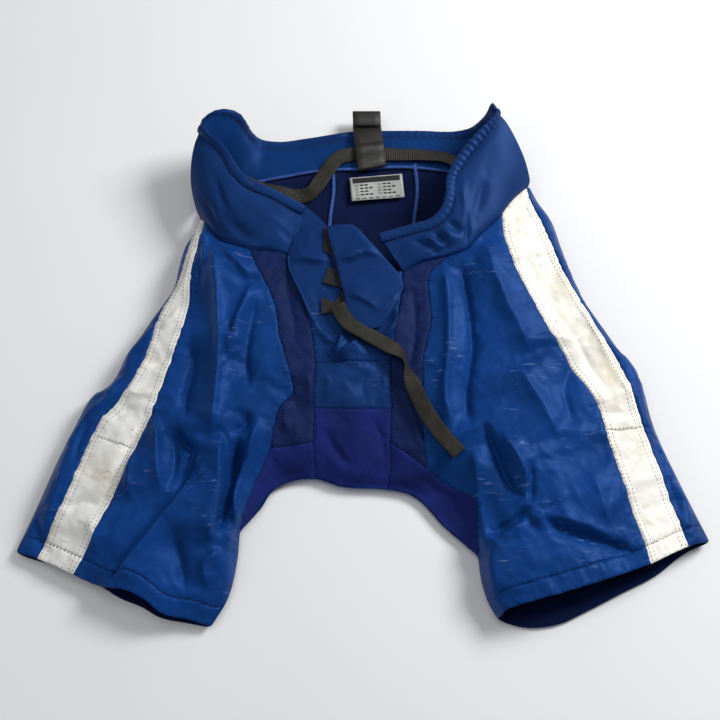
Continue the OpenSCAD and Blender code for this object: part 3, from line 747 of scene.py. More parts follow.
def cut_piece(master, index, name, materials, thick, inner=None):
    """Lifts one panel out of the sewn net as its own piece of cloth."""
    bm = bmesh.new()
    bm.from_mesh(master.data)
    wanted = {index} if isinstance(index, int) else set(index)
    bmesh.ops.delete(bm, geom=[f for f in bm.faces if f.material_index not in wanted], context="FACES")
    bm.normal_update()
    plan_uv(bm)
    order = sorted(wanted)
    for face in bm.faces:
        face.material_index = order.index(face.material_index) if len(materials) > 1 else 0
    piece = keep_mesh(name, bm)
    for m in materials:
        piece.data.materials.append(m)
    if inner:
        piece.data.materials.append(inner)
    wall = piece.modifiers.new("cloth thickness", "SOLIDIFY")
    wall.thickness = thick * MM
    wall.offset = -1
    if inner:
        wall.material_offset = len(materials)
        wall.material_offset_rim = 0
    return piece


def sew_front():
    """The whole front of the shell as one net, folded and crumpled, then lifted apart at its seams."""
    lines, folds, seams = [], [], []
    for side in SIDES:
        folds += [through(SIDE_FOLD[side]), through(INNER_FOLD[side])]
        lines += [through(YOKE_SEAM[side]), through(HEM_FRONT[side])]
        seams += [through(t[side]) for t in (STRIPE_OUT, STRIPE_IN, STRIPE_CROSS, MESH_OUT, MESH_IN, MESH_FOOT, GUSSET_SIDE, THIGH_INNER)]
        seams.append(hem_row(side))
    folds.append(through(CROTCH_FOLD))
    seams += [through(PATCH_TOP), through(PATCH_FOOT)]
    lines += folds + seams + [through(FLY_TOP)]
    marks, names = [], []
    for side in SIDES:
        for panel, at in PANELS + HEM_PANELS:
            names.append(side + "_" + panel)
            marks.append(at[side])
    for panel, at in MIDDLE:
        names.append(panel)
        marks.append(at)
    bm = cloth_net(lines, marks, 0.005)
    master = keep_mesh("front_net", bm)
    co = read_points(master.data)
    height = thin_plate(POSTS)(co) + 0.25 * MM * ripple(co, 0.016, 9.0)
    for fold in FOLDS:
        height += 0.35 * fold_profile(co, fold)
    height = side_rounding(co, height, folds, 0.018)
    co[:, 2] = np.maximum(height, 7 * MM)
    write_points(master.data, co)
    edge = np.full(len(co), 1e9)
    for line in lines[:4] + folds + [through(FLY_TOP)]:
        edge = np.minimum(edge, near(co, line)[0])
    sewn = np.full(len(co), 1e9)
    for line in seams:
        sewn = np.minimum(sewn, near(co, line)[0])
    hold = 0.06 + 0.94 * (edge < 0.001) + 0.5 * np.clip(1 - edge / 0.016, 0, 1) * (edge >= 0.001) + 0.12 * np.clip(1 - sewn / 0.005, 0, 1)
    hems = {side + "_" + panel: side + "_front_hem" for side in SIDES for panel, _ in HEM_PANELS}
    note_cut(master.data, [hems.get(name, name) for name in names], SPARE)
    crumple(master, np.clip(hold, 0, 1), spare=SPARE, bend=1.0)
    finer = master.modifiers.new("finer", "SUBSURF")
    finer.levels = finer.render_levels = 1
    bake(master)
    co = read_points(master.data)
    rim = np.full(len(co), 1e9)
    for line in folds:
        rim = np.minimum(rim, near(co, line)[0])
    sharp = leg_drape(co) + crinkle(co)
    for fold in FOLDS:
        sharp += 1.15 * fold_profile(co, fold)
    co[:, 2] += sharp * smooth(rim / 0.012)
    write_points(master.data, co)
    sink_seams(master.data, seams)
    co = read_points(master.data)
    away, _, _, level, _ = near(co, through(TAIL_ROUTE))
    roof = level - 1.9 * MM + 1.2 * np.maximum(0, away - 10 * MM)
    co[:, 2] = np.maximum(np.where(away < 0.02, np.minimum(co[:, 2], roof), co[:, 2]), 6 * MM)
    write_points(master.data, co)
    return master, names


def sew_back():
    """The seat and the backs of the legs, lying on the floor."""
    lines, folds, seams = [through(BACK_SEAM)], [], []
    for side in SIDES:
        folds += [through(SIDE_FOLD[side]), through(INNER_FOLD[side])]
        lines.append(through(HEM_BACK[side]))
        seams.append(through(SEAT_SIDE[side]))
        row = through(HEM_BACK[side]) + np.array([0, HEM_UP * MM, 0])
        seams.append(np.vstack([row[:1] - [[0.02 if side == "right" else -0.02, 0, 0]], row, row[-1:] + [[0.02 if side == "right" else -0.02, 0, 0]]]))
    folds.append(through(CROTCH_FOLD))
    lines += folds + seams
    names, marks = ["seat_panel"], [(0, 100)]
    for side, s in (("right", -1), ("left", 1)):
        names += [side + "_thigh_back", side + "_back_hem"]
        marks += [(s * 250, -100), (s * 250, -296 if s < 0 else -294)]
    bm = cloth_net(lines, marks, 0.0085)
    master = keep_mesh("back_net", bm)
    co = read_points(master.data)
    height = 2.2 * MM + 0.9 * MM * ripple(co, 0.04, 5.0) + 0.5 * MM * ripple(co, 0.018, 2.0)
    top = near(co, through(BACK_SEAM))
    height = np.where(top[0] < 0.05, height + (7 * MM - height) * (1 - smooth(top[0] / 0.05)), height)
    for side in SIDES:
        rim = near(co, through(HEM_BACK[side]))
        height += np.where(rim[0] < 0.02, (0.8 * MM) * (1 - rim[0] / 0.02), 0)
    height = side_rounding(co, height, folds, 0.014)
    co[:, 2] = np.maximum(height, 1.4 * MM)
    write_points(master.data, co)
    note_cut(master.data, names)
    finer = master.modifiers.new("finer", "SUBSURF")
    finer.levels = finer.render_levels = 1
    bake(master)
    return master, names


# ---------------------------------------------------------------- strips, tubes and straps
def facing(a, b, middle, turns=(None, None)):
    """Outward directions along a band between two edges; at a turned end they swing round to that corner's own direction."""
    run = np.gradient((a + b) / 2, axis=0)
    for _ in range(3):
        run[1:-1] = (run[:-2] + run[1:-1] + run[2:]) / 3
    out = np.cross(run, a - b)
    out /= np.maximum(np.linalg.norm(out, axis=1), 1e-9)[:, None]
    out *= np.where(((out * ((a + b) / 2 - middle)).sum(1) < 0), -1.0, 1.0)[:, None]
    along = np.concatenate([[0], np.cumsum(np.linalg.norm(np.diff((a + b) / 2, axis=0), axis=1))])
    swell = np.zeros(len(a))
    for turn, gone in ((turns[0], along), (turns[1], along[-1] - along)):
        if turn:
            share = (1 - smooth(gone / 0.045))[:, None]
            out = out * (1 - share) + turn[0] / np.linalg.norm(turn[0]) * share
            swell += turn[1] * MM * np.exp(-(gone / 0.05)**2)
    out /= np.linalg.norm(out, axis=1)[:, None]
    return out, swell, along


def strip(name, top, bottom, rows, puff, middle, step=0.005, waves=None, turns=(None, None), casing=CASING):
    """A padded band between two edges, puffed away from middle, a point inside the waist; a negative puff goes inwards."""
    count = max(8, int(length_of(bottom) / step))
    a, b = even(top, count + 1), even(bottom, count + 1)
    out, corner, along = facing(a, b, middle, turns)
    across = np.linalg.norm(a - b, axis=1)
    bm = bmesh.new()
    bmesh.ops.create_grid(bm, x_segments=count, y_segments=rows, size=1)
    layer = bm.loops.layers.uv.verify()
    map_at, flip = {}, 0
    for v in bm.verts:
        i = int(round((v.co.x + 1) / 2 * count))
        t = (v.co.y + 1) / 2
        p = a[i] * t + b[i] * (1 - t)
        free = [1.0 if turn else float(smooth(gone / 0.03)) for turn, gone in ((turns[0], along[i]), (turns[1], along[-1] - along[i]))]
        end = 0.25 + 0.75 * min(free)
        row = 1 - casing * MM / across[i]
        inside = min(1.0, t / row)
        swell = puff * MM * max(0.0, 4 * inside * (1 - inside))**0.42 * end + (corner[i] * math.sin(math.pi * t) if puff > 0 else 0)
        if waves:
            swell += waves(along[i], inside, p) * MM * min(1, 7 * inside * (1 - inside)) * end
        map_at[v] = (along[i], t * across[i])
        v.co = Vector(p + out[i] * swell)
    bm.normal_update()
    for face in bm.faces:
        face.smooth = True
        flip += face.normal.dot(face.calc_center_median() - Vector(middle)) * face.calc_area()
        for loop in face.loops:
            loop[layer].uv = map_at[loop.vert]
    if flip < 0:
        bmesh.ops.reverse_faces(bm, faces=bm.faces)
    return keep_mesh(name, bm)


def tube(name, route, reach, ring=12, lean=None, rib=None, flat=1.0, closed_ends=True):
    """A soft tube along a route: reach is its half width in metres, flat squashes it, rib adds gathers."""
    n = len(route)
    bm = bmesh.new()
    rings = []
    run = np.concatenate([[0], np.cumsum(np.linalg.norm(np.diff(route, axis=0), axis=1))])
    first = bmesh.ops.create_circle(bm, cap_ends=False, segments=ring, radius=1)["verts"]
    rings.append(first)
    edges = list({e for v in first for e in v.link_edges})
    for _ in range(n - 1):
        grown = bmesh.ops.extrude_edge_only(bm, edges=edges)["geom"]
        rings.append([g for g in grown if isinstance(g, bmesh.types.BMVert)])
        edges = [g for g in grown if isinstance(g, bmesh.types.BMEdge)]
    turn = [math.atan2(v.co.y, v.co.x) for v in first]
    flat_xy = [(v.co.x, v.co.y) for v in first]
    for i, loop in enumerate(rings):
        ahead = route[min(i + 1, n - 1)] - route[max(i - 1, 0)]
        ahead /= np.linalg.norm(ahead)
        up = np.array(lean[i] if lean is not None else UP, float)
        up -= ahead * (up @ ahead)
        up /= np.linalg.norm(up)
        across = np.cross(ahead, up)
        for v, (cx, cy) in zip(loop, sorted_like(loop, flat_xy)):
            puff = rib(run[i], math.atan2(cy, cx)) if rib else 0
            v.co = Vector(route[i] + across * cx * reach * (1 + 0.25 * puff) + up * cy * reach * flat * (1 + puff))
    if closed_ends:
        bmesh.ops.holes_fill(bm, edges=[e for e in bm.edges if e.is_boundary], sides=0)
    bmesh.ops.recalc_face_normals(bm, faces=bm.faces)
    for face in bm.faces:
        face.smooth = True
    layer = bm.loops.layers.uv.verify()
    where = {v: (run[i], k / ring) for i, loop in enumerate(rings) for k, v in enumerate(loop)}
    for face in bm.faces:
        for loop in face.loops:
            u, w = where[loop.vert]
            loop[layer].uv = (u, w * 2 * math.pi * reach)
    return keep_mesh(name, bm)


def sorted_like(loop, flat_xy):
    """An extruded ring keeps its first ring's places until it is moved, so each vertex is matched by where it stands."""
    out = []
    for v in loop:
        out.append(min(flat_xy, key=lambda c: (c[0] - v.co.x)**2 + (c[1] - v.co.y)**2))
    return out


def strap(name, route, width, thick, twist=None, across=None):
    """Flat webbing along a route, with rounded selvedges; twist turns it about its own length, in degrees."""
    n = len(route)
    bm = bmesh.new()
    half, deep = width / 2, thick / 2
    outline = [(-half, -deep * 0.5), (-half + deep, -deep), (-half * 0.5, -deep), (0, -deep), (half * 0.5, -deep), (half - deep, -deep), (half, -deep * 0.5),
               (half, deep * 0.5), (half - deep, deep), (half * 0.5, deep), (0, deep), (-half * 0.5, deep), (-half + deep, deep), (-half, deep * 0.5)]
    first = bmesh.ops.create_circle(bm, cap_ends=False, segments=len(outline), radius=1)["verts"]
    order = sorted(first, key=lambda v: math.atan2(v.co.y, v.co.x))
    for k, v in enumerate(order):
        v.co = Vector((outline[k][0], outline[k][1], 0))
    rings, edges = [order], list({e for v in first for e in v.link_edges})
    for _ in range(n - 1):
        grown = bmesh.ops.extrude_edge_only(bm, edges=edges)["geom"]
        fresh = [g for g in grown if isinstance(g, bmesh.types.BMVert)]
        rings.append([min(fresh, key=lambda v: (v.co.x - c[0])**2 + (v.co.y - c[1])**2) for c in outline])
        edges = [g for g in grown if isinstance(g, bmesh.types.BMEdge)]
    run = np.concatenate([[0], np.cumsum(np.linalg.norm(np.diff(route, axis=0), axis=1))])
    for i, loop in enumerate(rings):
        ahead = route[min(i + 1, n - 1)] - route[max(i - 1, 0)]
        ahead /= np.linalg.norm(ahead)
        up = UP - ahead * (UP @ ahead) if across is None else np.cross(across, ahead)
        up /= np.linalg.norm(up)
        sideways = np.cross(ahead, up)
        a = math.radians(twist(run[i] / run[-1])) if twist else 0
        u2, a2 = up * math.cos(a) - sideways * math.sin(a), sideways * math.cos(a) + up * math.sin(a)
        for v, (cx, cy) in zip(loop, outline):
            v.co = Vector(route[i] + a2 * cx + u2 * cy)
    where = {v: (run[i], outline[k][0]) for i, loop in enumerate(rings) for k, v in enumerate(loop)}
    bmesh.ops.holes_fill(bm, edges=[e for e in bm.edges if e.is_boundary], sides=0)
    bmesh.ops.recalc_face_normals(bm, faces=bm.faces)
    layer = bm.loops.layers.uv.verify()
    for face in bm.faces:
        face.smooth = True
        for loop in face.loops:
            loop[layer].uv = where[loop.vert]
    piece = keep_mesh(name, bm)
    return piece


def stitches(name, rows, cloth, colour, pitch=4.6, size=3.2, wide=1.0, lift=0.35):
    """Rows of lockstitch lying on the cloth below or above them: rows are plan lines, cloth the pieces they are sewn through."""
    tree_parts = []
    dg = bpy.context.evaluated_depsgraph_get()
    for piece in cloth:
        tree_parts.append(BVHTree.FromObject(piece, dg))
    bm = bmesh.new()
    for line in rows:
        total = length_of(line[:, :2])
        count = int(total / (pitch * MM))
        if count < 1:
            continue
        spots = even(line, count * 2 + 1)
        for k in range(count):
            p, q = spots[2 * k], spots[2 * k + 1]
            ends = []
            for spot in (p, q):
                hits = [t.ray_cast(Vector((spot[0], spot[1], 0.3)), Vector((0, 0, -1))) for t in tree_parts]
                hits = [h for h in hits if h[0] is not None]
                if hits:
                    ends.append(max(hits, key=lambda h: h[0].z))
            if len(ends) < 2 or abs(ends[0][0].z - ends[1][0].z) > 0.004:
                continue
            a, b = ends[0][0], ends[1][0]
            normal = (ends[0][1] + ends[1][1]).normalized()
            along = b - a
            if along.length < 1e-5:
                continue
            along = along.normalized()
            across = normal.cross(along).normalized()
            middle = (a + b) / 2
            reach = size * MM / 2
            half = wide * MM / 2
            low = [bm.verts.new(middle + along * sx * reach * 0.8 + across * sy * half - normal * 0.0003) for sx, sy in ((-1, -1), (1, -1), (1, 1), (-1, 1))]
            crown = [bm.verts.new(middle + along * sx * reach * 0.45 + normal * lift * MM * 1.6) for sx in (-1, 1)]
            bm.faces.new((low[0], low[1], crown[1], crown[0]))
            bm.faces.new((low[2], low[3], crown[0], crown[1]))
            bm.faces.new((low[1], low[2], crown[1]))
            bm.faces.new((low[3], low[0], crown[0]))
            bm.faces.new((low[3], low[2], low[1], low[0]))
    for face in bm.faces:
        face.smooth = True
    piece = keep_mesh(name, bm)
    piece.data.materials.append(colour)
    return piece


def beside(line, gap):
    """A plan line gap millimetres to the left of another, keeping its heights."""
    ahead = np.gradient(line[:, :2], axis=0)
    ahead /= np.maximum(np.linalg.norm(ahead, axis=1), 1e-9)[:, None]
    moved = line.copy()
    moved[:, 0] -= ahead[:, 1] * gap * MM
    moved[:, 1] += ahead[:, 0] * gap * MM
    return moved


# ================================================================ the making
set_studio()

NYLON = shell_nylon()
# the padded bands, casings, fly and crotch patch wear a darker copy of the shell nylon: the same fabric, with painted
# shade in its colour
SHADED_BAND_NYLON = shell_nylon("band_nylon_painted_shade", "#16376F", "#10295A", scuff=0.6, gloss=0.46)
LINING_NYLON = shell_nylon("band_lining_nylon", "#0E3874", "#0A2C5E", scuff=0.0, gloss=0.5)
STRIPE = {"right": stripe_nylon("stripe_nylon_right", "#EDECE8", "#CFC9BA"), "left": stripe_nylon("stripe_nylon_left", "#F8F5EC", "#E8DEC6")}
KNIT = stretch_knit()
KNIT_DARK = stretch_knit("lining_jersey", "#0C1B46", "#091436")
MESH = vent_mesh()
BELT_WEB = strap_web("belt_webbing_nylon", "#34322A", 130.0, strength=0.9)
SATIN_WEB = strap_web("keeper_satin_webbing", "#2A2825", 260.0, along="Y", rough=0.42, strength=0.3)
ELASTIC = strap_web("waist_elastic_rubber", "#3A3A38", 500.0)
TAPE = hook_tape()
LOOP_TAPE = hook_tape("loop_tape", "#1D1C1A")
NAVY_THREAD = plain_thread("navy_thread", "#0A1A45")
PALE_THREAD = plain_thread("stripe_thread", "#8D8A80")
GREY_THREAD = plain_thread("tape_thread", "#5A5852")
OVERLOCK = plain_thread("overlock_thread", "#2F57AC", 0.8)
BLACK_THREAD = plain_thread("black_thread", "#1A1A1C")
LABEL = label_satin()
PRINT = plain_thread("label_print", "#141414", 0.7)

# ---- cords: the waist belt and its loose tail
BELT_ROUTE = [(-152, 244, 19), (-136, 238, 16), (-105, 232, 14), (-80, 226, 13), (-68, 230, 13.5), (-56, 246, 14), (-46, 264, 14), (-30, 284, 14), (-18, 288, 13.5),
              (10, 289, 13), (45, 289, 13), (80, 288, 13), (104, 284, 15), (120, 272, 22), (130, 258, 30)]
TAIL_ROUTE = [(-31, 50, 57), (-19, 28, 57), (4, 13, 55.5), (27, -1, 54.5), (40, -9, 54), (47, -17, 53.5), (51.5, -27, 53), (55, -40, 51.5), (60, -55, 50), (67, -71, 48.5),
              (80, -94, 46), (94, -113, 43.5), (111, -132, 40.5)]


def lay_belts():
    belt_line = through([(x, y, z + 0.9) for x, y, z in BELT_ROUTE], 0.004)
    belt = strap("belt_webbing", belt_line, 0.019, 0.0018, twist=lambda t: 14 * math.sin(9 * t) - 55 * math.exp(-((t - 0.27) / 0.06)**2))
    belt.data.materials.append(BELT_WEB)
    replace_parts(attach(belt, "root"), "belt_webbing")
    tail_line = through(TAIL_ROUTE, 0.004)
    tail = strap("belt_tail", tail_line, 0.019, 0.0018, twist=lambda t: 6 * math.sin(7 * t) + 74 * math.exp(-((t - 0.48) / 0.075)**2))
    tail.data.materials.append(BELT_WEB)
    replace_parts(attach(tail, "root"), "belt_tail")


lay_belts()

# ---- the shell
FRONT_REPLACES = {"thigh_front": ("hip_front", "thigh_front"), "stripe_upper": ("stripe_upper",), "stripe_lower": ("stripe_lower",),
                  "side_cloth": ("hip_side", "side_panel"), "mesh_panel": ("mesh_panel",), "inner_thigh": ("inner_thigh",)}


def make_shell():
    front, names = sew_front()
    sewn = {}
    for side in SIDES:
        wear = {"thigh_front": NYLON, "side_cloth": NYLON, "stripe_upper": STRIPE[side], "stripe_lower": STRIPE[side], "mesh_panel": MESH, "inner_thigh": KNIT}
        for panel, _ in PANELS:
            name = side + "_" + panel
            inner = KNIT_DARK if panel in ("thigh_front", "side_cloth") else None
            piece = cut_piece(front, names.index(name), name, [wear[panel]], 0.9, inner)
            sewn[name] = piece
            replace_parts(piece, *[side + "_" + n for n in FRONT_REPLACES[panel]])
        picks = [names.index(side + "_" + p) for p, _ in HEM_PANELS]
        hem = cut_piece(front, picks, side + "_front_hem", [NYLON, STRIPE[side], NYLON], 1.8, KNIT_DARK)
        sewn[side + "_front_hem"] = hem
        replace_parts(hem, side + "_front_hem")
    for panel, material in (("fly_base", SHADED_BAND_NYLON), ("crotch_patch", SHADED_BAND_NYLON), ("crotch_gusset", KNIT)):
        piece = cut_piece(front, names.index(panel), panel, [material], 0.9)
        sewn[panel] = piece
        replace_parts(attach(piece, "root"), panel)
    bpy.data.objects.remove(front)
    back, names = sew_back()
    for index, name in enumerate(names):
        bm = bmesh.new()
        bm.from_mesh(back.data)
        bmesh.ops.delete(bm, geom=[f for f in bm.faces if f.material_index != index], context="FACES")
        bmesh.ops.reverse_faces(bm, faces=bm.faces)
        bm.normal_update()
        plan_uv(bm)
        for face in bm.faces:
            face.material_index = 0
        piece = keep_mesh(name, bm)
        piece.data.materials.append(NYLON)
        piece.data.materials.append(KNIT_DARK)
        wall = piece.modifiers.new("cloth thickness", "SOLIDIFY")
        wall.thickness, wall.offset, wall.material_offset = 0.9 * MM, -1, 1
        sewn[name] = piece
        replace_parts(piece, name)
    bpy.data.objects.remove(back)
    return sewn


sewn = make_shell()


def shell_rows():
    """Where the shell is stitched, by thread: (name, rows, pieces, side or None, thread)."""
    jobs = []
    for side in SIDES:
        s = 1 if side == "right" else -1
        out, inn, cross = through(STRIPE_OUT[side]), through(STRIPE_IN[side]), through(STRIPE_CROSS[side])
        stripe_parts = [sewn[side + "_stripe_upper"], sewn[side + "_stripe_lower"], sewn[side + "_front_hem"]]
        rows = [beside(out, s * 2.5)[3:], beside(out, s * 7.5)[6:], beside(inn, -s * 2.5)[2:], beside(inn, -s * 7.5)[4:]]
        trimmed = cross[(cross[:, 0] > out[:, 0].min()) & (abs(cross[:, 0]) > abs(inn[:, 0]).min())]
        rows += [beside(trimmed, 2.0)[3:-3]]
        jobs.append((side + "_stripe_stitches", rows, stripe_parts, side, PALE_THREAD))
        hem = hem_row(side)[1:-1]
        mesh_out, inner = through(MESH_OUT[side]), through(THIGH_INNER[side])
        jobs.append((side + "_leg_stitches", [hem, beside(mesh_out, -s * 3)[3:], beside(mesh_out, -s * 7)[6:-2]],
                     [sewn[side + "_thigh_front"], sewn[side + "_front_hem"], sewn[side + "_side_cloth"], sewn[side + "_mesh_panel"]], side, NAVY_THREAD))
    patch = [beside(through(PATCH_TOP), -3), beside(through(PATCH_FOOT), 3), beside(through(PATCH_FOOT), 7)]
    sides = [through([(-54, -20, 43), (-55, -70, 36)]), through([(31, -20, 43), (30, -70, 36)])]
    fly = [through([(-52, -12, 42), (-20, 8, 46), (20, 30, 48), (40, 46, 48)]), through([(30, -14, 43), (10, 0, 46), (-20, 30, 48), (-50, 54, 48)])]
    jobs.append(("crotch_stitches", patch + sides + fly, [sewn["crotch_patch"], sewn["fly_base"], sewn["crotch_gusset"]], None, NAVY_THREAD))
    return jobs


made_rows = [(stitches(name, rows, parts, thread), side) for name, rows, parts, side, thread in shell_rows()]

for side in SIDES:
    for panel in ("thigh_front", "stripe_upper", "stripe_lower", "side_cloth", "mesh_panel", "inner_thigh", "front_hem", "thigh_back", "back_hem"):
        with_leg(sewn[side + "_" + panel])
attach(sewn["seat_panel"], "root")
for row, side in made_rows:
    if side:
        with_leg(row)
    else:
        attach(row, "root")

# ---- the padded waist
RIGHT_TOP = [(-203, 293, 76), (-192, 280, 76), (-182, 272, 75), (-172, 258, 73), (-159, 234, 70), (-143, 220, 67), (-113, 207, 63), (-93, 197, 59), (-73, 187, 56)]
LEFT_TOP = [(168, 318, 78), (159, 300, 76), (151, 291, 75), (133, 269, 72), (115, 243, 70), (107, 226, 68), (105, 202, 66), (100, 184, 63), (86, 168, 60), (57, 158, 58), (18, 146, 57)]
BACK_TOP = [(-203, 293, 76), (-200, 303, 78), (-189, 311, 79), (-173, 315, 78), (-160, 316, 70), (-152, 315, 50), (-146, 314, 28), (-136, 312, 14), (-114, 310, 10), (-72, 316, 9),
            (-11, 326, 10), (28, 327, 10), (77, 327, 10), (120, 325, 12), (138, 323, 22), (152, 321, 44), (160, 321, 66), (164, 325, 78), (168, 318, 78)]
CORNER = {"right": (np.array([-0.94, 0.12, 0.20]), 7.0), "left": (np.array([0.90, 0.10, 0.25]), 2.0)}


def creased(size, amount, creases=()):
    """Thin foam under nylon: soft puffs, and creases given as (from, to, height, width) in (along, share of the height)."""
    def wave(along, t, p):
        w = amount * noise.noise(Vector((along / size, t * 1.5, 3.0))) + 0.5 * amount * noise.noise(Vector((along / size * 2.4, t * 3.6, 5.0)))
        for (a0, t0), (a1, t1), height, wide in creases:
            step = np.array([(a1 - a0), (t1 - t0) * 70])
            at = np.array([along / MM - a0, (t - t0) * 70])
            k = float(np.clip(at @ step / (step @ step), 0, 1))
            off = at - k * step
            w += 2.3 * height * math.exp(-(off @ off) / wide**2) * math.sin(math.pi * min(max(k, 0.12), 0.88))
        return w
    return wave


def quilted(along, t, p):
    """The lining side of the bands: slack creases slanting between the stitched edges."""
    crease = abs(noise.noise(Vector(((along + t * 0.02) / 0.024, t * 0.9, 7.0))))
    return -1.5 * (0.3 - crease) - 0.6 * noise.noise(Vector((along / 0.05, t * 2, 1.0)))


def pad_out(piece, wall):
    """Gives a band one subdivision and its cloth thickness."""
    finer = piece.modifiers.new("finer", "SUBSURF")
    finer.levels = finer.render_levels = 1
    thick = piece.modifiers.new("padding", "SOLIDIFY")
    thick.thickness, thick.offset = wall * MM, -1
    bake(piece)
    for face in piece.data.polygons:
        face.use_smooth = True


MIDDLE_BACK, MIDDLE_FRONT = np.array([0, 0.230, 0.062]), np.array([0, 0.230, -0.02])
RIGHT_CREASES = [((30, 0.7), (70, 0.45), -1.4, 5), ((60, 0.35), (110, 0.15), -1.6, 6), ((95, 0.75), (140, 0.5), 1.0, 7), ((20, 0.3), (60, 0.12), -1.6, 5),
                 ((128, 0.5), (170, 0.2), -1.2, 6), ((150, 0.8), (185, 0.6), 0.9, 6)]
LEFT_CREASES = [((150, 0.9), (136, 0.35), -3.0, 4), ((160, 0.92), (150, 0.3), 2.4, 4), ((170, 0.9), (163, 0.25), -2.8, 3.5), ((184, 0.92), (170, 0.4), 2.0, 4),
                ((200, 0.85), (178, 0.2), -2.0, 4), ((150, 0.3), (190, 0.12), -2.2, 4), ((120, 0.45), (140, 0.1), -2.4, 4), ((60, 0.6), (110, 0.3), -1.4, 7),
                ((95, 0.85), (120, 0.6), 1.2, 6), ((215, 0.7), (232, 0.3), -1.6, 4)]
BANDS = (  # side, top edge, wave of its cover, gathers of its casing
    ("right", RIGHT_TOP, RIGHT_CREASES, 0.10, 12.0), ("left", LEFT_TOP, LEFT_CREASES, 0.42, 8.0),
)


def casing(name, top, bottom, middle, turns, wide, gather, pitch, inner=False):
    """The turned edge that carries the elastic: a flat soft roll along the top, gathered over it, and the row stitched under it."""
    count = int(length_of(top) / 0.0022)
    a, b = even(top, count + 1), even(bottom, count + 1)
    out, corner, along = facing(a, b, middle, turns)
    down = (b - a) / np.linalg.norm(b - a, axis=1)[:, None]
    lift = (-0.8 if inner else 1.4) * MM
    route = a + down * wide * 0.46 * MM + out * (lift + corner[:, None] * 0.35)

    def gathers(run, turn):
        puff = gather * math.sin(2 * math.pi * run / (pitch * MM) + 1.9 * math.sin(run / 0.019)) * (0.6 + 0.4 * math.sin(run / 0.043))
        return puff + 0.05 * noise.noise(Vector((run / 0.02, turn, 0)))
    roll = tube(name, route, wide / 2 * MM, ring=16, lean=out, rib=gathers, flat=0.36)
    roll.data.materials.append(SHADED_BAND_NYLON)
    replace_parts(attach(roll, "root"), name)
    return roll, a + down * (wide + 1.6) * MM + out * corner[:, None]


def make_waist():
    back_top, back_seam = through(BACK_TOP), through(BACK_SEAM)
    corners = (CORNER["right"], CORNER["left"])
    band = strip("back_waistband", back_top, back_seam, 14, 5.0, MIDDLE_BACK, waves=creased(0.05, 1.2), turns=corners)
    band.data.materials.append(SHADED_BAND_NYLON)
    pad_out(band, 2.0)
    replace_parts(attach(band, "root"), "back_waistband", "back_band_foam")
    lining = strip("back_band_lining", back_top, back_seam, 16, -2.2, MIDDLE_BACK, step=0.004, waves=quilted, turns=corners)
    lining.data.materials.append(LINING_NYLON)
    pad_out(lining, 1.0)
    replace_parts(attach(lining, "root"), "back_band_lining")
    roll, row = casing("back_casing", back_top, back_seam, MIDDLE_BACK, corners, 11.5, 0.18, 10.0, inner=True)
    seams = [stitches("back_casing_stitches", [row[20:-20]], [lining, roll], NAVY_THREAD, pitch=4.4, size=3.1, wide=1.3, lift=0.7)]
    for side, top, creases, gather, pitch in BANDS:
        top_line, seam_line = through(top), through(YOKE_SEAM[side])
        turns = (CORNER[side], None)
        yoke = strip(side + "_front_yoke", top_line, seam_line, 22, 6.5, MIDDLE_FRONT, step=0.0035, waves=creased(0.06, 1.3, creases), turns=turns)
        yoke.data.materials.append(SHADED_BAND_NYLON)
        pad_out(yoke, 2.0)
        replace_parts(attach(yoke, "root"), side + "_front_yoke", side + "_yoke_foam")
        behind = strip(side + "_yoke_lining", top_line, seam_line, 12, -3.0, MIDDLE_FRONT, waves=quilted, turns=turns)
        behind.data.materials.append(LINING_NYLON)
        pad_out(behind, 1.0)
        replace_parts(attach(behind, "root"), side + "_yoke_lining")
        roll, row = casing(side + "_front_casing", top_line, seam_line, MIDDLE_FRONT, turns, CASING, gather, pitch)
        seams.append(stitches(side + "_casing_stitches", [row[4:-2]], [yoke, roll], NAVY_THREAD, pitch=4.4, size=3.1, wide=1.3, lift=0.7))
    for seam in seams:
        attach(seam, "root")
    inside = through(BACK_TOP, 0.01)
    hidden = inside + (even(back_seam, len(inside)) - inside) * 0.09
    elastic = strap("waist_elastic", hidden[6:-6], 0.004, 0.0012)
    elastic.data.materials.append(ELASTIC)
    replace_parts(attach(elastic, "root"), "waist_elastic")


def overlock(run, turn):
    """The thread loops of an overlocked edge, uneven as they come off the machine."""
    return 0.28 * math.sin(2 * math.pi * run / 0.0046 + 3 * turn) + 0.35 * noise.noise(Vector((run / 0.006, turn, 2.0)))


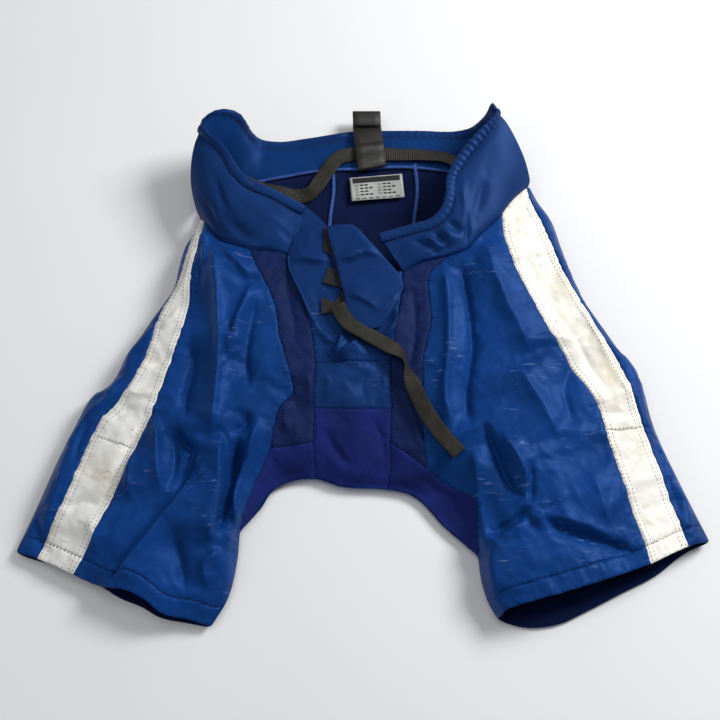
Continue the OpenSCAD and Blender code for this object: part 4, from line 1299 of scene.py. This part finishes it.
def make_linings():
    """The jersey lining of the seat, seen down through the waist, with its two overlocked seams."""
    top = [(-198, 214, 12), (-160, 242, 9), (-110, 253, 9), (-50, 264, 10), (0, 266, 10), (50, 269, 10), (110, 263, 9), (160, 252, 9), (198, 238, 13)]
    foot = [(-198, 214, 12), (-200, 190, 10), (-200, 120, 8), (-190, 64, 7), (-90, 62, 7), (0, 62, 7), (90, 62, 7), (190, 64, 7), (222, 120, 8), (210, 190, 10), (198, 238, 13)]
    seam_right = [(-40, 272, 10), (-38, 244, 6), (-42, 200, 5), (-45, 150, 5), (-46, 50, 5)]
    seam_left = [(67, 275, 10), (70, 240, 6), (66, 200, 5), (60, 150, 5), (58, 50, 5)]
    lines = [through(t, 0.008) for t in (top, foot, seam_right, seam_left)]
    bm = cloth_net(lines, [(-100, 200), (10, 200), (130, 200)], 0.008)
    net = keep_mesh("lining_net", bm)
    note_cut(net.data, ("lining_right", "lining_centre", "lining_left"))
    co = read_points(net.data)
    near_top = near(co, lines[0])[0]
    level = 5.2 * MM + 4.2 * MM * (1 - smooth(near_top / 0.03))
    clear = smooth((np.abs(co[:, 0] - 0.018) - 0.040) / 0.02)
    level += (2.6 * MM * np.abs(ripple(co, 0.05, 31.0)) * smooth(near_top / 0.02) + 0.8 * MM * ripple(co, 0.02, 12.0)) * np.where(co[:, 1] > 0.21, clear, 1.0)
    for line in lines[2:]:
        d = near(co, line)[0]
        level += 1.6 * MM * np.exp(-(d / 0.004)**2)
    co[:, 2] = np.maximum(level, 4.0 * MM)
    write_points(net.data, co)
    finer = net.modifiers.new("finer", "SUBSURF")
    finer.levels = finer.render_levels = 1
    bake(net)
    for index, name in enumerate(("lining_right", "lining_centre", "lining_left")):
        piece = cut_piece(net, index, name, [KNIT_DARK], 0.8)
        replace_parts(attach(piece, "root"), name)
    for name, points in (("overlock_right", seam_right), ("overlock_left", seam_left)):
        route = through([(x, y, z + 2.6) for x, y, z in points[:-1]], 0.0016)
        roll = tube(name, route, 0.0024, ring=8, flat=0.6, rib=overlock)
        roll.data.materials.append(OVERLOCK)
        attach(roll, "root")
    route = through([(x, y + 2, z + 2.4) for x, y, z in top[1:-1]], 0.0016)
    roll = tube("overlock_waist", route, 0.0022, ring=8, flat=0.6, rib=overlock)
    roll.data.materials.append(OVERLOCK)
    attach(roll, "root")
    bpy.data.objects.remove(net)


def fly_level(y):
    """Height of the fly's tape line, which rises towards the waist."""
    return 47 + y / 20


def flat_panel(name, outline, level, material, step=0.0032, thick=1.4, folds=(), curl=0.0):
    """A small sewn panel cut from its outline, folded and given its thickness."""
    line = through(outline + outline[:1], step)
    cx, cy = np.mean(np.array(outline, float)[:, :2], axis=0)
    bm = cloth_net([line], [(cx, cy)], step)
    piece = keep_mesh(name, bm)
    note_cut(piece.data, [name])
    co = read_points(piece.data)
    height = np.array([level(x / MM, y / MM) for x, y in co[:, :2]]) * MM
    for fold in folds:
        height += fold_profile(co, fold)
    edge = near(co, line)[0]
    height += 0.5 * MM * ripple(co, 0.02, 14.0) - curl * MM * np.exp(-edge / 0.004)
    co[:, 2] = height
    write_points(piece.data, co)
    bm = bmesh.new()
    bm.from_mesh(piece.data)
    bm.normal_update()
    plan_uv(bm)
    for face in bm.faces:
        face.material_index = 0
        face.smooth = True
    bm.to_mesh(piece.data)
    bm.free()
    piece.data.materials.append(material)
    finer = piece.modifiers.new("finer", "SUBSURF")
    finer.levels = finer.render_levels = 1
    wall = piece.modifiers.new("cloth thickness", "SOLIDIFY")
    wall.thickness, wall.offset = thick * MM, -1
    bake(piece)
    return piece


UNDERLAP = [(-74, 188, 0), (-70, 185, 0), (-60, 176, 0), (-45, 158, 0), (-41, 136, 0), (-38, 114, 0), (-27, 75, 0), (-19, 54, 0), (-18, 40, 0), (-19, 22, 0), (-29, 2, 0),
            (-36, 6, 0), (-58, 31, 0), (-74, 66, 0), (-84, 88, 0), (-90, 104, 0), (-91, 122, 0), (-85, 146, 0), (-79, 168, 0)]
FLAP = [(-45, 155, 0), (-44.6, 152, 0), (-33, 106, 0), (-25, 70, 0), (-20, 48, 0), (-17, 37, 0), (-14, 33, 0), (4, 21, 0), (16, 20, 0), (30, 35, 0), (46, 66, 0), (49, 75, 0),
        (47, 82, 0), (25, 114, 0), (7, 135, 0), (-9, 154, 0), (-12, 156, 0), (-28, 157, 0)]
TAPES = (("hook", [[(-48, 157), (-41, 155), (-36, 116), (-48, 124)], [(-42, 103), (-32, 99), (-24, 74), (-49, 82)],
                   [(-50, 62), (-34, 56), (-25, 70), (-17, 66), (-15, 38), (-30, 42), (-50, 41)]]),
         ("loop", [[(-30, 150), (-18, 150), (-16, 126), (-28, 122)], [(-22, 106), (-8, 106), (-4, 90), (-18, 88)], [(-12, 70), (4, 72), (8, 56), (-8, 52)]]))


def make_fly():
    lap = flat_panel("fly_underlap", UNDERLAP, lambda x, y: fly_level(y) + 0.6 - 0.02 * abs(x + 55), SHADED_BAND_NYLON, curl=0.6, thick=1.6, folds=[
        ([(-91, 108, 0), (-75, 115, 0), (-60, 112, 0), (-36, 111, 0)], 5.0, 9, 1.8), ([(-88, 100, 0), (-70, 104, 0), (-44, 102, 0)], -2.0, 3, 9),
        ([(-86, 100, 0), (-78, 86, 0), (-70, 66, 0), (-55, 35, 0), (-38, 14, 0)], -1.6, 1.4, 1.4), ([(-72, 160, 0), (-66, 140, 0), (-70, 124, 0)], 2, 6, 6),
        ([(-52, 88, 0), (-42, 88, 0), (-34, 92, 0)], 3, 3, 2), ([(-50, 72, 0), (-42, 78, 0), (-34, 72, 0)], -2.5, 2, 3), ([(-60, 90, 0), (-52, 50, 0), (-36, 20, 0)], -2, 9, 5)])
    edge = through([(-91, 118, 0), (-90, 104, 0), (-84, 88, 0), (-74, 66, 0), (-58, 31, 0), (-36, 6, 0), (-30, 3, 0)], 0.002)
    edge[:, 2] = [fly_level(y / MM) * MM + 0.5 * MM for y in edge[:, 1]]
    piping = tube("underlap_roll", edge, 0.0016, ring=8, rib=lambda run, turn: 0.12 * noise.noise(Vector((run / 0.006, 0, turn))))
    piping.data.materials.append(SHADED_BAND_NYLON)
    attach(piping, "root")
    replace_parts(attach(lap, "root"), "fly_underlap")
    flap = flat_panel("fly_flap", FLAP, lambda x, y: fly_level(y) + 8.4, SHADED_BAND_NYLON, curl=0.8, thick=1.6, folds=[
        ([(-36, 112, 0), (-19, 110, 0), (0, 118, 0), (26, 112, 0)], 5.0, 12, 1.8), ([(-34, 106, 0), (-14, 104, 0), (4, 110, 0), (24, 106, 0)], -1.6, 3, 9),
        ([(-25, 64, 0), (-10, 61, 0), (14, 46, 0), (22, 40, 0)], 4.6, 12, 1.8),
        ([(44, 70, 0), (30, 50, 0), (14, 34, 0)], 2.4, 5, 6), ([(-14, 150, 0), (2, 134, 0), (16, 118, 0)], 2.0, 3, 8)])
    row = beside(through(FLAP[1:6], 0.004), 2.5)
    seam = stitches("flap_stitches", [row, through([(-42, 153.5, 0), (-14, 153.5, 0)], 0.004)], [flap], NAVY_THREAD, pitch=4.2, size=2.9, wide=0.9, lift=0.4)
    for piece in (flap, seam):
        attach(piece, "fly_flap")
    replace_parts(flap, "fly_flap")
    for kind, shapes in TAPES:
        bm = bmesh.new()
        for shape in shapes:
            up = 1.9 if kind == "hook" else 3.3
            corners = [bm.verts.new((x * MM, y * MM, (fly_level(y) + up) * MM)) for x, y in shape]
            face = bm.faces.new(corners)
            grown = bmesh.ops.extrude_face_region(bm, geom=[face])["geom"]
            lifted = [g for g in grown if isinstance(g, bmesh.types.BMVert)]
            bmesh.ops.translate(bm, verts=lifted, vec=(0, 0, 0.7 * MM))
        bmesh.ops.recalc_face_normals(bm, faces=bm.faces)
        bmesh.ops.bevel(bm, geom=list(bm.edges), offset=0.35 * MM, segments=2, profile=0.5, affect="EDGES", material=-1)
        bm.normal_update()
        plan_uv(bm)
        patch = keep_mesh(kind + "_patches", bm)
        patch.data.materials.append(TAPE if kind == "hook" else LOOP_TAPE)
        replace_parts(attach(patch, "root" if kind == "hook" else "fly_flap"), kind + "_patches")
        if kind == "hook":
            rows = []
            for shape in shapes:
                centre = np.mean(np.array(shape, float), axis=0)
                ring = [tuple(centre + (np.array(c) - centre) * 0.84) + (0,) for c in shape]
                rows += [through([ring[i], ring[(i + 1) % len(ring)]], 0.003) for i in range(len(ring))]
            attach(stitches("tape_stitches", rows, [patch], GREY_THREAD, pitch=2.8, size=1.7, wide=0.45), "root")


def make_keeper():
    """The belt keeper and hanging loop: wide black satin webbing, sewn down with bar tacks, frayed where it is folded."""
    route = through([(5, 331, 16), (5.5, 324, 18.3), (7, 310, 19.6), (8, 300, 20.2), (8.5, 297, 20.8), (9, 293, 19.8), (10, 280, 19.4), (11, 271, 18.2), (12, 266, 16.2)], 0.0025)
    keeper = strap("belt_keeper", route, 0.0372, 0.0024, twist=lambda t: 1.5 * math.sin(6 * t))
    keeper.data.materials.append(SATIN_WEB)
    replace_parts(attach(keeper, "root"), "belt_keeper")
    rows = []
    for y, half, x in ((326, 16, 5), (299.5, 16.5, 8), (291, 16.5, 9), (270, 16.5, 11)):
        rows.append(through([(x - half, y + 0.8, 0), (x + half, y - 0.8, 0)], 0.003))
    for sx in (-16.4, 16.4):
        rows.append(through([(5 + sx, 328, 0), (8 + sx, 300, 0), (11.5 + sx, 265, 0)], 0.003))
    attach(stitches("keeper_stitches", rows, [keeper], BLACK_THREAD, pitch=2.6, size=1.8, wide=0.5, lift=0.3), "root")
    fray = bmesh.new()
    for _ in range(90):
        x, y = draws.uniform(-10, 26), draws.gauss(296.5, 0.9)
        base = Vector((x * MM, y * MM, 20.6 * MM))
        lean = Vector((draws.uniform(-1, 1), draws.uniform(-1, 1), draws.uniform(0.4, 1.2))).normalized()
        tip = base + lean * draws.uniform(0.9, 2.4) * MM
        across = lean.cross(Vector((0.3, 0.8, 0.1))).normalized() * 0.12 * MM
        corners = [fray.verts.new(c) for c in (base - across, base + across, tip)]
        fray.faces.new(corners)
    frayed = keep_mesh("keeper_fray", fray)
    frayed.data.materials.append(GREY_THREAD)
    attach(frayed, "root")
    ring = through([(5, 329, 17.6), (5, 342, 16.2), (4.5, 349, 16.9), (4.5, 351.2, 19.8), (4.5, 349, 23.0), (4.8, 342, 23.8), (5, 333, 22.6), (5, 328.6, 20.8)], 0.0016)
    loop = strap("hanger_loop", ring, 0.0365, 0.0016, across=(1, 0, 0))
    loop.data.materials.append(SATIN_WEB)
    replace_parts(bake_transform(loop), "hanger_loop")


def make_label():
    """A size label sewn in at the neck of the lining: ribbon with a dark bar, tick boxes and plain ruled bars."""
    low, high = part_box("size_label")
    bm = bmesh.new()
    bmesh.ops.create_grid(bm, x_segments=24, y_segments=14, size=0.5)
    layer = bm.loops.layers.uv.verify()
    sag = {}
    for v in bm.verts:
        x, y = v.co.x + 0.5, v.co.y + 0.5
        bow = 0.8 * MM * math.sin(math.pi * x) * (1 - y) + 0.5 * MM * math.sin(5.5 * x + 1) * (1 - y)
        v.co = Vector((low.x + x * (high.x - low.x) - 0.003 * (y - 0.5), low.y + y * (high.y - low.y) + 0.0065 * (x - 0.5) - 0.0028, high.z + 1.6 * MM + bow))
    for face in bm.faces:
        face.smooth = True
        for loop in face.loops:
            loop[layer].uv = loop.vert.co.xy
    label = keep_mesh("size_label", bm)
    label.data.materials.append(LABEL)
    wall = label.modifiers.new("ribbon thickness", "SOLIDIFY")
    wall.thickness = 0.35 * MM
    bake(label)
    dg = bpy.context.evaluated_depsgraph_get()
    surface = BVHTree.FromObject(label, dg)
    marks = bmesh.new()
    wide, tall = high.x - low.x, high.y - low.y

    def bar(x, y, w, h):
        cx, cy = low.x + x * wide - 0.003 * (y - 0.5), low.y + y * tall + 0.0065 * (x - 0.5) - 0.0028
        hit = surface.ray_cast(Vector((cx, cy, 0.2)), Vector((0, 0, -1)))
        if hit[0] is None:
            return
        made = bmesh.ops.create_cube(marks, size=1)["verts"]
        bmesh.ops.scale(marks, verts=made, vec=(w * wide, h * tall, 0.12 * MM))
        bmesh.ops.rotate(marks, verts=made, matrix=Matrix.Rotation(0.108, 3, "Z"), cent=(0, 0, 0))
        tilt = Vector((0, 0, 1)).rotation_difference(hit[1]).to_matrix()
        bmesh.ops.rotate(marks, verts=made, matrix=tilt, cent=(0, 0, 0))
        bmesh.ops.translate(marks, verts=made, vec=hit[0])
    for k in range(9):
        bar(0.10 + k * 0.10, 0.85, 0.102, 0.22)
    for column in (0.12, 0.55):
        for k in range(4):
            y = 0.64 - k * 0.135
            for dx, dy, w, h in ((0, 0.032, 0.05, 0.014), (0, -0.032, 0.05, 0.014), (-0.025, 0, 0.008, 0.064), (0.025, 0, 0.008, 0.064)):
                bar(column + dx, y + dy, w, h)
            for j in range(2 + k % 2):
                bar(column + 0.095 + j * 0.085, y, 0.066, 0.062)
    for k in range(7):
        bar(0.12 + k * 0.125, 0.075, 0.08, 0.04)
    print_marks = keep_mesh("label_marks", marks)
    print_marks.data.materials.append(PRINT)
    for piece in (label, print_marks):
        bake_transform(piece)
    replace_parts(label, "size_label")


make_waist()
make_linings()
make_fly()
make_keeper()
make_label()
